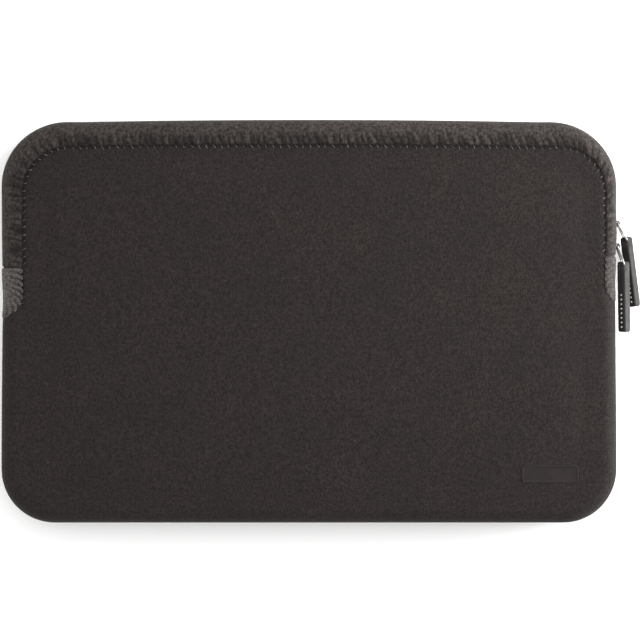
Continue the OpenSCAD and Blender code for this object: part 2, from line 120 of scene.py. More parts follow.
class SleeveZip(bpy.types.PropertyGroup):
    """Sizes of the zip and its pulls."""

    coil_pitch: measure("Coil pitch", "Distance between the turns of the coil", 1.25 * MM)
    coil_wire: measure("Coil wire", "Thickness of the coil's filament", 0.55 * MM)
    pull_l: measure("Pull length", "Length of a rubber pull", 34.5 * MM)
    pull_side: measure("Pull side", "Side of the pull's square section", 4.9 * MM)
    pull_twist: tilt("Pull twist", "Turn of the pull about its length", 42)
    pull_angle_1: tilt("Upper pull angle", "Outward from straight down", 7)
    pull_angle_2: tilt("Lower pull angle", "Outward from straight down", 0.8)
    wire_d: measure("Loop wire", "Diameter of the wire loops", 1.0 * MM)
    dot_count: IntProperty(
        name="Dots", description="Plain dots on each pull", default=8, min=1, max=9)


def colour(name, description, value):
    return FloatVectorProperty(
        name=name, description=description, default=value, size=3, min=0, max=1, subtype="COLOR")


class SleeveColours(bpy.types.PropertyGroup):
    """Colours of the cloths, rubbers and metals."""

    face: colour("Face", "Neoprene of the panels", (0.0143, 0.0111, 0.0104))
    band: colour("Band", "Neoprene of the zip band", (0.0300, 0.0245, 0.0225))
    tab: colour("Tab", "Ribbed elastic of the end tabs", (0.060, 0.052, 0.049))
    thread: colour("Thread", "Sewing thread of the band seam", (0.060, 0.053, 0.049))
    dark_thread: colour("Dark thread", "Overlock thread of the tabs", (0.014, 0.012, 0.0115))
    lining: colour("Lining", "Plush lining", (0.062, 0.056, 0.054))
    binding: colour("Binding", "Binding over the inner seam", (0.024, 0.021, 0.020))
    tape: colour("Tape", "Zip tape", (0.018, 0.016, 0.016))
    coil: colour("Coil", "Nylon coil and stops", (0.020, 0.018, 0.018))
    slider: colour("Slider", "Enamelled sliders", (0.022, 0.020, 0.020))
    wire: colour("Wire", "Nickel-plated wire", (0.30, 0.30, 0.29))
    rubber: colour("Rubber", "Moulded pulls", (0.0125, 0.0105, 0.0100))
    dot: colour("Dots", "Silver print on the pulls", (0.46, 0.46, 0.45))
    badge: colour("Badge", "Blank patch", (0.0165, 0.0135, 0.0128))
    label: colour("Label", "Blank care label", (0.60, 0.58, 0.55))
    floor: colour("Floor", "Pale studio floor", (0.96, 0.96, 0.955))


# ---------- materials ----------

class Finish:
    """A node material under construction."""

    def __init__(self, name, base, roughness):
        self.material = bpy.data.materials.new(name)
        self.material.use_nodes = True
        self.tree = self.material.node_tree
        self.shader = self.tree.nodes["Principled BSDF"]
        self.base = tuple(base)
        self.shader.inputs["Base Color"].default_value = (*self.base, 1)
        self.shader.inputs["Roughness"].default_value = roughness
        self.material.diffuse_color = (*self.base, 1)
        self.place = self.node("ShaderNodeAttribute")
        self.place.attribute_name = REST_ATTRIBUTE
        self.relief = None

    def node(self, kind, **settings):
        made = self.tree.nodes.new(kind)
        for key, value in settings.items():
            setattr(made, key, value)
        return made

    def link(self, output, socket):
        self.tree.links.new(output, socket)

    def painted_shading(self):
        """Painted shade kept with the mesh: 1 on open cloth, less in gathers and along seams, where shade
        falls.
        """
        made = self.node("ShaderNodeAttribute")
        made.attribute_name = SHADE_ATTRIBUTE
        return made.outputs["Fac"]

    def stretched(self, scale, turn=(0, 0, 0)):
        """The rest position scaled per axis, so that a pattern can be longer one way."""
        mapping = self.node("ShaderNodeMapping")
        mapping.inputs["Scale"].default_value = scale
        mapping.inputs["Rotation"].default_value = turn
        self.link(self.place.outputs["Vector"], mapping.inputs["Vector"])
        return mapping.outputs["Vector"]

    def noise(self, scale, detail=2, stretch=(1, 1, 1)):
        made = self.node("ShaderNodeTexNoise")
        made.inputs["Scale"].default_value = scale
        made.inputs["Detail"].default_value = detail
        self.link(self.stretched(stretch), made.inputs["Vector"])
        return made.outputs["Fac"]

    def wave(self, scale, direction, distortion, turn=(0, 0, 0)):
        made = self.node("ShaderNodeTexWave", bands_direction=direction)
        made.inputs["Scale"].default_value = scale
        made.inputs["Distortion"].default_value = distortion
        made.inputs["Detail"].default_value = 1
        made.inputs["Detail Scale"].default_value = 3
        self.link(self.stretched((1, 1, 1), turn), made.inputs["Vector"])
        return made.outputs["Fac"]

    def cells(self, scale):
        made = self.node("ShaderNodeTexVoronoi")
        made.inputs["Scale"].default_value = scale
        self.link(self.stretched((1, 1, 1)), made.inputs["Vector"])
        return made.outputs["Distance"]

    def span(self, value, low, high, to_low, to_high):
        made = self.node("ShaderNodeMapRange")
        for key, number in zip(("From Min", "From Max", "To Min", "To Max"), (low, high, to_low, to_high)):
            made.inputs[key].default_value = number
        self.link(value, made.inputs["Value"])
        return made.outputs["Result"]

    def times(self, a, b, operation="MULTIPLY"):
        made = self.node("ShaderNodeMath", operation=operation)
        self.link(a, made.inputs[0])
        self.link(b, made.inputs[1])
        return made.outputs[0]

    def shade(self, *factors):
        """Multiplies the base colour by each factor in turn."""
        total = factors[0]
        for factor in factors[1:]:
            total = self.times(total, factor)
        made = self.node("ShaderNodeVectorMath", operation="SCALE")
        made.inputs[0].default_value = self.base
        self.link(total, made.inputs["Scale"])
        self.link(made.outputs["Vector"], self.shader.inputs["Base Color"])

    def bump(self, height, distance, strength):
        made = self.node("ShaderNodeBump")
        made.inputs["Distance"].default_value = distance
        made.inputs["Strength"].default_value = strength
        self.link(height, made.inputs["Height"])
        if self.relief is not None:
            self.link(self.relief, made.inputs["Normal"])
        self.relief = made.outputs["Normal"]
        self.link(self.relief, self.shader.inputs["Normal"])

    def sheen(self, weight, tint=(0.8, 0.78, 0.76)):
        self.shader.inputs["Sheen Weight"].default_value = weight
        self.shader.inputs["Sheen Tint"].default_value = (*tint, 1)
        self.shader.inputs["Sheen Roughness"].default_value = 0.5


def jersey(name, base, speckle, mottle, grain):
    """Fine knit jersey laminated on neoprene: stitch columns, speckle, soft mottling and scuffs."""
    made = Finish(name, base, 0.9)
    fleck = made.noise(grain, 2, (1, 0.75, 1))
    cloud = made.noise(34, 3)
    column = made.wave(330, "X", 1.6)
    course = made.wave(250, "Y", 1.4)
    knit = made.times(column, course)
    scuff = made.noise(260, 4)
    made.shade(
        # painted shade from the mesh's gathers and seams
        made.painted_shading(),
        made.span(fleck, 0.32, 0.68, 1 - speckle, 1 + speckle),
        made.span(cloud, 0.3, 0.7, 1 - mottle, 1 + mottle),
        made.span(knit, 0, 1, 0.90, 1.14),
        made.span(scuff, 0.60, 0.8, 1.0, 1.35),
    )
    made.link(made.span(cloud, 0.3, 0.7, 0.84, 0.96), made.shader.inputs["Roughness"])
    made.bump(knit, 0.12 * MM, 0.6)
    made.bump(fleck, 0.18 * MM, 0.8)
    made.sheen(0.05)
    made.shader.inputs["Specular IOR Level"].default_value = 0.15
    return made.material


def ribbed(name, base):
    """Ribbed woven elastic: narrow ribs with fine yarns across them and paler flecks of wear."""
    made = Finish(name, base, 0.88)
    rib = made.wave(260, "Y", 0.8)
    yarn = made.wave(300, "X", 0.8)
    fleck = made.noise(780, 2)
    made.shade(
        # painted shade from the mesh's gathers and seams
        made.painted_shading(),
        made.span(rib, 0, 1, 0.9, 1.06),
        made.span(yarn, 0, 1, 0.95, 1.05),
        made.span(fleck, 0.34, 0.66, 0.5, 1.5),
    )
    made.bump(rib, 0.2 * MM, 0.9)
    made.bump(yarn, 0.1 * MM, 0.7)
    made.bump(fleck, 0.15 * MM, 0.7)
    made.sheen(0.08)
    made.shader.inputs["Specular IOR Level"].default_value = 0.2
    return made.material


def plush(name, base):
    """Short plush: soft tufts and a nap that lies in drifts."""
    made = Finish(name, base, 0.95)
    tuft = made.cells(900)
    nap = made.noise(60, 4, (1, 0.5, 1))
    made.shade(made.span(tuft, 0, 0.6, 1.15, 0.7), made.span(nap, 0.3, 0.7, 0.75, 1.25))
    made.bump(tuft, 0.5 * MM, 0.8)
    made.sheen(0.5, (0.6, 0.58, 0.56))
    return made.material


def woven(name, base, yarns):
    """Plain woven tape: as many yarns one way as the other, crossing."""
    made = Finish(name, base, 0.8)
    over = made.wave(yarns, "DIAGONAL", 0.5)
    across = made.wave(yarns, "DIAGONAL", 0.5, (0, 0, math.pi / 2))
    weave = made.times(over, across, "MAXIMUM")
    fleck = made.noise(1400, 2)
    made.shade(made.span(weave, 0, 1, 0.7, 1.25), made.span(fleck, 0.3, 0.7, 0.85, 1.15))
    made.bump(weave, 0.1 * MM, 0.8)
    made.sheen(0.15)
    return made.material


def spun(name, base):
    """Spun sewing thread with its twist."""
    made = Finish(name, base, 0.7)
    twist = made.wave(900, "DIAGONAL", 0.5)
    fleck = made.noise(240, 2)
    made.shade(made.span(twist, 0, 1, 0.75, 1.2), made.span(fleck, 0.35, 0.65, 0.35, 1.5))
    made.bump(twist, 0.08 * MM, 0.8)
    made.sheen(0.06)
    made.shader.inputs["Specular IOR Level"].default_value = 0.2
    return made.material


def moulded(name, base, roughness, grain, shine=0.4):
    """Moulded rubber or nylon: fine grain and handling marks."""
    made = Finish(name, base, roughness)
    made.shader.inputs["Specular IOR Level"].default_value = shine
    fine = made.noise(2600, 2)
    smear = made.noise(180, 4)
    made.shade(made.span(fine, 0.3, 0.7, 1 - grain, 1 + grain), made.span(smear, 0.35, 0.75, 0.88, 1.3))
    made.link(made.span(smear, 0.3, 0.7, roughness - 0.08, roughness + 0.1), made.shader.inputs["Roughness"])
    made.bump(fine, 0.05 * MM, 0.5)
    return made.material


def plated(name, base, roughness, metallic):
    """Plated or enamelled metal with drawn lines and small scratches."""
    made = Finish(name, base, roughness)
    made.shader.inputs["Metallic"].default_value = metallic
    drawn = made.noise(500, 3, (1, 0.15, 1))
    scratch = made.noise(900, 4, (0.3, 1, 0.6))
    made.shade(made.span(drawn, 0.3, 0.7, 0.9, 1.08), made.span(scratch, 0.68, 0.8, 1.0, 1.3))
    made.link(made.span(scratch, 0.3, 0.8, roughness - 0.05, roughness + 0.15),
              made.shader.inputs["Roughness"])
    made.bump(drawn, 0.02 * MM, 0.5)
    return made.material


def satin_tape(name, base):
    """Satin label tape, blank."""
    made = Finish(name, base, 0.55)
    thread = made.wave(480, "Y", 0.4)
    fleck = made.noise(800, 2)
    made.shade(made.span(thread, 0, 1, 0.92, 1.05), made.span(fleck, 0.3, 0.7, 0.95, 1.04))
    made.bump(thread, 0.05 * MM, 0.6)
    made.sheen(0.2)
    return made.material


def floor_paint(name, base):
    """Even matt studio paper."""
    made = Finish(name, base, 0.9)
    cloud = made.noise(6, 2)
    made.shade(made.span(cloud, 0.3, 0.7, 0.995, 1.005))
    return made.material


RECIPES = {
    "face": lambda c: jersey("neoprene_face", c.face, 0.42, 0.14, 950),
    "band": lambda c: jersey("neoprene_band", c.band, 0.62, 0.12, 800),
    "tab": lambda c: ribbed("ribbed_elastic", c.tab),
    "thread": lambda c: spun("sewing_thread", c.thread),
    "dark_thread": lambda c: spun("overlock_thread", c.dark_thread),
    "lining": lambda c: plush("plush_lining", c.lining),
    "binding": lambda c: woven("binding_tape", c.binding, 330),
    "tape": lambda c: woven("zip_tape", c.tape, 420),
    "coil": lambda c: moulded("nylon_coil", c.coil, 0.42, 0.1),
    "slider": lambda c: plated("enamelled_slider", c.slider, 0.32, 0.0),
    "wire": lambda c: plated("nickel_wire", c.wire, 0.3, 0.85),
    "rubber": lambda c: moulded("moulded_rubber", c.rubber, 0.6, 0.15, 0.25),
    "dot": lambda c: plated("silver_print", c.dot, 0.4, 0.6),
    "badge": lambda c: moulded("badge_rubber", c.badge, 0.85, 0.2, 0.12),
    "label": lambda c: satin_tape("label_satin", c.label),
    "floor": lambda c: floor_paint("floor_paper", c.floor),
}
MADE_MATERIALS = {}


def material(key):
    if key not in MADE_MATERIALS:
        MADE_MATERIALS[key] = RECIPES[key](bpy.context.scene.sleeve_colours)
    return MADE_MATERIALS[key]


# ---------- shape of the sleeve ----------

def inset_at(x, y):
    """Distance inside the sleeve's outline, in plan."""
    s = bpy.context.scene.sleeve_sizes
    ax = np.abs(x)
    inset = np.minimum(SIDE_X - ax, np.minimum(TOP_Y - y, TOP_Y + y))
    for r, height in ((s.top_r, y), (s.bottom_r, -y)):
        cx, cy = ax - (SIDE_X - r), height - (TOP_Y - r)
        corner = (cx > 0) & (cy > 0)
        inset = np.where(corner, r - np.hypot(cx, cy), inset)
    return np.maximum(inset, 0)


def outward_at(x, y):
    """Unit vector out of the outline, in plan."""
    step = 0.05 * MM
    gx = inset_at(x - step, y) - inset_at(x + step, y)
    gy = inset_at(x, y - step) - inset_at(x, y + step)
    length = np.hypot(gx, gy)
    safe = np.maximum(length, 1e-12)
    return np.stack([gx / safe, gy / safe], -1)


def face_height(inset):
    """Height of the outer face above the middle of the thickness."""
    roll = bpy.context.scene.sleeve_sizes.edge_r
    inside = np.clip(roll - inset, 0, roll)
    return MID_Z - roll + np.sqrt(np.maximum(roll * roll - inside * inside, 0))


def face_normal(xy, inset):
    """Outer normals of the front half at plan points."""
    roll = bpy.context.scene.sleeve_sizes.edge_r
    level = np.clip((roll - inset) / roll, 0, 1)
    out = outward_at(xy[:, 0], xy[:, 1])
    return np.concatenate([out * level[:, None], np.sqrt(1 - level * level)[:, None]], 1)


def settled(points):
    """The sleeve's own sag: the top edge bows, the elastic draws the sides in, the back rests flat."""
    p = np.array(points, float)
    high = np.clip(p[:, 1] / TOP_Y, 0, 1) ** 2
    p[:, 1] -= 1.1 * MM * high * np.clip(np.abs(p[:, 0]) / 0.115, 0, 1) ** 2
    waist = np.exp(-((p[:, 1] - 8 * MM) / 0.045) ** 2)
    p[:, 0] -= 0.5 * MM * waist * np.clip(p[:, 0] / SIDE_X, -1, 1) ** 3
    rim = np.clip((p[:, 0] - SIDE_X) / (28 * MM) + 1, 0, 1) ** 2
    left_rim = np.clip((-p[:, 0] - SIDE_X) / (28 * MM) + 1, 0, 1) ** 2
    drawn = 0.45 * MM * np.exp(-((p[:, 1] - 19 * MM) / (11 * MM)) ** 2)
    pushed = 0.5 * MM * np.exp(-((p[:, 1] - 46 * MM) / (7 * MM)) ** 2)
    p[:, 0] += rim * (pushed - drawn)
    p[:, 0] += left_rim * 0.6 * MM * np.exp(-((p[:, 1] - 11 * MM) / (9 * MM)) ** 2)
    p[:, 2] = np.maximum(p[:, 2], REST_GAP)
    return p


def mirrored(points):
    """The same points on the back half."""
    p = np.array(points, float)
    p[:, 2] = np.maximum(THICK - p[:, 2], REST_GAP)
    return p


def flipped(faces):
    return [tuple(reversed(f)) for f in faces]


def rounded_ring(x0, x1, y0, y1, r_low, r_high, stations):
    """Closed ring of plan points, counterclockwise from the middle of the lower left corner."""
    across, upward, arc = stations
    corners = [
        (x0 + r_low, y0 + r_low, r_low, 225), (x1 - r_low, y0 + r_low, r_low, 315),
        (x1 - r_high, y1 - r_high, r_high, 45), (x0 + r_high, y1 - r_high, r_high, 135),
    ]
    points = []
    for side in range(4):
        ax, ay, ar, a_mid = corners[side]
        bx, by, br, b_mid = corners[(side + 1) % 4]
        count = across if side % 2 == 0 else upward
        for i in range(arc):
            turn = math.radians(a_mid + 45 * i / arc)
            points.append((ax + ar * math.cos(turn), ay + ar * math.sin(turn)))
        turn = math.radians(a_mid + 45)
        start = np.array((ax + ar * math.cos(turn), ay + ar * math.sin(turn)))
        end = np.array((bx + br * math.cos(turn), by + br * math.sin(turn)))
        straight = count - 2 * arc
        for i in range(straight):
            points.append(tuple(start + (end - start) * i / straight))
        for i in range(arc):
            turn = math.radians(b_mid - 45 + 45 * i / arc)
            points.append((bx + br * math.cos(turn), by + br * math.sin(turn)))
    return np.array(points)


SEAM_BOTTOM = 9 * MM


def seam_ring(share, stations):
    """Ring between the outline, share 0, and the band seam, share 1."""
    s = bpy.context.scene.sleeve_sizes
    return rounded_ring(
        -SIDE_X + share * SEAM_LEFT, SIDE_X - share * SEAM_RIGHT,
        -TOP_Y + share * SEAM_BOTTOM, TOP_Y - share * s.seam_top,
        s.bottom_r - share * SEAM_BOTTOM, s.top_r + share * (s.seam_r - s.top_r), stations)


def inner_ring(extra, stations):
    """Ring inside the band seam."""
    s = bpy.context.scene.sleeve_sizes
    return rounded_ring(
        -SIDE_X + SEAM_LEFT + extra, SIDE_X - SEAM_RIGHT - extra,
        -TOP_Y + SEAM_BOTTOM + extra, TOP_Y - s.seam_top - extra,
        s.bottom_r - SEAM_BOTTOM - extra, s.seam_r - extra, stations)


def filled(ring, across, upward):
    """Smooth grid of plan points inside a ring, its border left out."""
    low = ring[0:across + 1]
    right = ring[across:across + upward + 1]
    top = ring[across + upward:2 * across + upward + 1][::-1]
    left = np.concatenate([ring[2 * across + upward:], ring[:1]])[::-1]
    u = np.linspace(0, 1, across + 1)[:, None, None]
    v = np.linspace(0, 1, upward + 1)[None, :, None]
    grid = (1 - v) * low[:, None] + v * top[:, None] + (1 - u) * left[None] + u * right[None]
    grid -= (1 - u) * (1 - v) * low[0] + u * (1 - v) * low[-1]
    grid -= (1 - u) * v * top[0] + u * v * top[-1]
    return grid


# ---------- mesh helpers ----------

def make_piece(name, points, faces, key, body=None, subdivide=0, shade=None):
    """Mesh object in the sleeve's frame, with its rest place and its painted shade kept for its material."""
    mesh = bpy.data.meshes.new(name)
    mesh.from_pydata([tuple(p) for p in points], [], [tuple(map(int, f)) for f in faces])
    mesh.validate()
    mesh.update()
    mesh.polygons.foreach_set("use_smooth", [True] * len(mesh.polygons))
    piece = bpy.data.objects.new(name, mesh)
    bpy.context.scene.collection.objects.link(piece)
    keep_rest(piece)
    # painted shade per point: the given shade on both sheets, RIM_SHADE on the cut edges
    painted_shading = np.ones(len(points), np.float32)
    if shade is not None:
        painted_shading[:2 * len(shade)] = np.tile(shade, 2)
        painted_shading[2 * len(shade):] = RIM_SHADE
    mesh.attributes.new(SHADE_ATTRIBUTE, "FLOAT", "POINT").data.foreach_set("value", painted_shading)
    mesh.materials.append(material(key))
    if subdivide:
        smoother = piece.modifiers.new("smooth", "SUBSURF")
        smoother.levels = smoother.render_levels = subdivide
    if body:
        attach(piece, body)
    return piece


def keep_rest(piece):
    mesh = piece.data
    rest = mesh.attributes.get(REST_ATTRIBUTE) or mesh.attributes.new(REST_ATTRIBUTE, "FLOAT_VECTOR", "POINT")
    place = np.zeros(len(mesh.vertices) * 3, np.float32)
    mesh.vertices.foreach_get("co", place)
    rest.data.foreach_set("vector", place)


def cross_fold(piece):
    """Bakes a front piece's transform into its mesh."""
    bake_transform(piece)


def thicken(points, normals, quads, wall):
    """Closed solid between a sheet and the same sheet pushed in by wall."""
    count = len(points)
    inner = points - normals * wall
    middle = points - normals * wall / 2
    edges = {}
    for q in quads:
        for a, b in zip(q, q[1:] + q[:1]):
            edges[(a, b)] = True
    rim = [e for e in edges if (e[1], e[0]) not in edges]
    faces = [tuple(q) for q in quads] + [tuple(i + count for i in reversed(q)) for q in quads]
    mid_at = {}
    extra = []
    for a, b in rim:
        for v in (a, b):
            if v not in mid_at:
                mid_at[v] = 2 * count + len(extra)
                extra.append(middle[v])
    for a, b in rim:
        faces.append((b, a, mid_at[a], mid_at[b]))
        faces.append((mid_at[b], mid_at[a], a + count, b + count))
    return np.concatenate([points, inner, np.array(extra).reshape(-1, 3)]), faces


def used_only(points, faces):
    """Drops the points that no face uses."""
    used = sorted({i for f in faces for i in f})
    where = {old: new for new, old in enumerate(used)}
    return points[used], [tuple(where[i] for i in f) for f in faces]


def band_quads(rows, columns, closed=False):
    """Quads of a grid of rows by columns, whose rows may close into rings."""
    quads = []
    for row in range(0, (rows - 1) * columns, columns):
        for c in range(columns if closed else columns - 1):
            d = (c + 1) % columns
            quads.append([row + c, row + d, row + columns + d, row + columns + c])
    return quads


def frames_along(path, closed):
    """Two unit vectors square to a path at each of its points, carried along without twist."""
    ahead = np.roll(path, -1, 0) - np.roll(path, 1, 0)
    if not closed:
        ahead[0], ahead[-1] = path[1] - path[0], path[-1] - path[-2]
    ahead /= np.maximum(np.linalg.norm(ahead, axis=1), 1e-12)[:, None]
    side = np.cross(ahead[0], (0.31, 0.17, 0.93))
    sides = []
    for t in ahead:
        side = side - t * (side @ t)
        side /= np.linalg.norm(side)
        sides.append(side)
    sides = np.array(sides)
    return sides, np.cross(ahead, sides)


def tubes(paths, radius, sides=6, closed=False):
    """Round tubes along several paths as one mesh, with domed ends on open ones."""
    points, faces = [], []
    turn = np.arange(sides) * 2 * math.pi / sides
    for path in paths:
        path = np.asarray(path, float)
        a, b = frames_along(path, closed)
        rings = path[:, None] + radius * (np.cos(turn)[None, :, None] * a[:, None]
                                          + np.sin(turn)[None, :, None] * b[:, None])
        base = len(points)
        count = len(path)
        points.extend(rings.reshape(-1, 3))
        for i in range(count if closed else count - 1):
            j = (i + 1) % count
            for k in range(sides):
                n = (k + 1) % sides
                faces.append((base + i * sides + k, base + i * sides + n,
                              base + j * sides + n, base + j * sides + k))
        if not closed:
            for end, order in ((0, -1), (count - 1, 1)):
                tip = path[end] + (path[end] - path[1 if end == 0 else count - 2]) * 0.35
                points.append(tip)
                for k in range(sides):
                    n = (k + 1) % sides
                    ring = (base + end * sides + k, base + end * sides + n, len(points) - 1)
                    faces.append(ring if order > 0 else ring[::-1])
    return np.array(points), faces


def loft(rings):
    """Closed skin over rings with the same number of points, capped with fans."""
    rings = [np.asarray(r, float) for r in rings]
    count = len(rings[0])
    points = np.concatenate(rings + [rings[0].mean(0)[None], rings[-1].mean(0)[None]])
    faces = []
    for i in range(len(rings) - 1):
        for k in range(count):
            n = (k + 1) % count
            faces.append((i * count + k, i * count + n, (i + 1) * count + n, (i + 1) * count + k))
    first, last = len(points) - 2, len(points) - 1
    top = (len(rings) - 1) * count
    for k in range(count):
        n = (k + 1) % count
        faces.append((first, n, k))
        faces.append((last, top + k, top + n))
    return points, faces


def joined(parts):
    """Several (points, faces) as one."""
    points, faces = [], []
    for p, f in parts:
        base = sum(len(q) for q in points)
        points.append(np.asarray(p, float))
        faces.extend(tuple(i + base for i in face) for face in f)
    return np.concatenate(points), faces


def rounded_square(half_u, half_v, radius, per_corner=5):
    """Section of a bar with rounded edges."""
    points = []
    for quarter, (su, sv) in enumerate(((1, 1), (-1, 1), (-1, -1), (1, -1))):
        for i in range(per_corner + 1):
            turn = math.radians(90 * quarter + 90 * i / per_corner)
            points.append((su * (half_u - radius) + radius * math.cos(turn),
                           sv * (half_v - radius) + radius * math.sin(turn)))
    return np.array(points)


# ---------- padding simulation ----------

EVENING_ROUNDS = 60
SWELLING_FRAMES = 20


def evened(shift, quads, held):
    """The same shift with its small wrinkles averaged out; held points stay."""
    ring = np.asarray(quads)
    pairs = np.unique(np.sort(np.concatenate([ring[:, (k, (k + 1) % 4)] for k in range(4)]), axis=1), axis=0)
    count = np.bincount(pairs.ravel(), minlength=len(shift))[:, None]
    free = (1 - np.asarray(held))[:, None]
    for _ in range(EVENING_ROUNDS):
        total = np.zeros_like(shift)
        np.add.at(total, pairs[:, 0], shift[pairs[:, 1]])
        np.add.at(total, pairs[:, 1], shift[pairs[:, 0]])
        shift = free * (0.3 * shift + 0.7 * total / np.maximum(count, 1))
    return shift


def pad_out(points, quads, held, cap):
    """Swells a sheet by a short cloth simulation under pressure and returns the moved points."""
    mesh = bpy.data.meshes.new("padding")
    mesh.from_pydata([tuple(p) for p in points], [], [tuple(map(int, q)) for q in quads])
    sheet = bpy.data.objects.new("padding", mesh)
    bpy.context.scene.collection.objects.link(sheet)
    group = sheet.vertex_groups.new(name="held")
    for index, weight in enumerate(held):
        if weight > 0:
            group.add([index], float(weight), "REPLACE")
    cloth = sheet.modifiers.new("padding", "CLOTH")
    settings = cloth.settings
    settings.quality = 4
    settings.mass = 0.3
    settings.tension_stiffness = settings.compression_stiffness = 12
    settings.shear_stiffness = 6
    settings.bending_stiffness = 2.5
    settings.vertex_group_mass = "held"
    settings.use_pressure = True
    settings.uniform_pressure_force = 2.2
    settings.shrink_min = -0.012
    settings.effector_weights.gravity = 0
    cloth.collision_settings.use_collision = False
    scene = bpy.context.scene
    for step in range(1, SWELLING_FRAMES + 1):
        scene.frame_set(step)
    shown = sheet.evaluated_get(bpy.context.evaluated_depsgraph_get())
    moved = np.array([v.co for v in shown.data.vertices], float)
    bpy.data.objects.remove(sheet)
    bpy.data.meshes.remove(mesh)
    scene.frame_set(1)
    shift = moved - points
    length = np.linalg.norm(shift, axis=1)
    shift *= (np.minimum(length, cap) / np.maximum(length, 1e-9))[:, None]
    return points + evened(shift, quads, held)


# ---------- the neoprene panels ----------

SIDE_LEVELS = (0.1, 0.45, 1.0)
ROLL_SHARES = (0.03, 0.09, 0.18, 0.29, 0.42, 0.56, 0.70, 0.82, 0.91)
INSIDE_STEPS = tuple(step * MM for step in (0, 0.8, 1.9, 3.4, 5.4, 7.8))


def half_shell(stations, depth):
    """Points, normals, quads and each quad's zone, for half the sleeve's surface at a depth below it."""
    across, upward, _ = stations
    rings, normals, kinds = [], [], []
    edge = seam_ring(0, stations)
    out = outward_at(edge[:, 0] * (1 - 1e-4), edge[:, 1] * (1 - 1e-4))
    flat = np.zeros(len(edge))
    for level in SIDE_LEVELS:
        height = level * SLOT_HALF
        rings.append(np.column_stack([edge, flat + MID_Z + height]))
        normals.append(np.column_stack([out, flat]))
        kinds.append("side")
    plans = [(seam_ring(share, stations), "roll") for share in ROLL_SHARES]
    plans += [(inner_ring(extra, stations), "inside") for extra in INSIDE_STEPS]
    grid = filled(plans[-1][0], across, upward)
    for plan, kind in plans:
        inset = inset_at(plan[:, 0], plan[:, 1])
        rings.append(np.column_stack([plan, MID_Z + face_height(inset)]))
        normals.append(face_normal(plan, inset))
        kinds.append(kind)
    count = len(edge)
    quads = band_quads(len(rings), count, closed=True)
    zones = [kinds[q[2] // count] for q in quads]
    inner = grid[1:-1, 1:-1].reshape(-1, 2)
    inset = inset_at(inner[:, 0], inner[:, 1])
    base = len(rings) * count
    last = (len(rings) - 1) * count

    def index(i, j):
        if 0 < i < across and 0 < j < upward:
            return base + (i - 1) * (upward - 1) + j - 1
        if j == 0:
            return last + i
        if i == across:
            return last + across + j
        if j == upward:
            return last + 2 * across + upward - i
        return last + (2 * (across + upward) - j) % count

    for i in range(across):
        for j in range(upward):
            quads.append([index(i, j), index(i + 1, j), index(i + 1, j + 1), index(i, j + 1)])
            zones.append("inside")
    points = np.concatenate(rings + [np.column_stack([inner, MID_Z + face_height(inset)])])
    normals = np.concatenate(normals + [face_normal(inner, inset)])
    return points - normals * depth, normals, quads, zones


def seam_distance(points):
    """Signed distance to the band seam in plan, above zero on the panel's side, and length along the seam."""
    s = bpy.context.scene.sleeve_sizes
    x0, x1, y1, r = -SIDE_X + SEAM_LEFT, SIDE_X - SEAM_RIGHT, TOP_Y - s.seam_top, s.seam_r
    x, y = points[:, 0], points[:, 1]
    distance = np.minimum(np.minimum(x - x0, x1 - x), y1 - y)
    along = np.where(x - x0 < np.minimum(x1 - x, y1 - y), y, np.where(x1 - x < y1 - y, -y, x))
    for cx, outer in ((x0 + r, x < x0 + r), (x1 - r, x > x1 - r)):
        corner = outer & (y > y1 - r)
        distance = np.where(corner, r - np.hypot(x - cx, y - (y1 - r)), distance)
        along = np.where(corner, r * np.arctan2(x - cx, y - (y1 - r)), along)
    return distance, along


def above_tabs(points, extra=0.0):
    """True where the band seam runs, between the end tabs."""
    left = (points[:, 0] < 0) & (points[:, 1] > LEFT_TAB[1].y - extra)
    return left | ((points[:, 0] >= 0) & (points[:, 1] > RIGHT_TAB[1].y - extra))


def under_tabs(points):
    """1 where an end tab lies over the panel, falling off smoothly round it."""
    cover = np.zeros(len(points))
    for side, box in ((-1, LEFT_TAB), (1, RIGHT_TAB)):
        width = box[1].x - box[0].x
        middle = (box[0].y + box[1].y) / 2
        half = (box[1].y - box[0].y) / 2
        near_y = np.clip((half - np.abs(points[:, 1] - middle)) / (1.5 * MM) + 0.5, 0, 1)
        near_x = np.clip((width - (SIDE_X - side * points[:, 0])) / (1.5 * MM) + 0.5, 0, 1)
        low = np.clip((points[:, 1] - box[0].y - 6 * MM) / (6 * MM), 0, 1)
        cover = np.maximum(cover, near_y * near_x * low)
    return cover


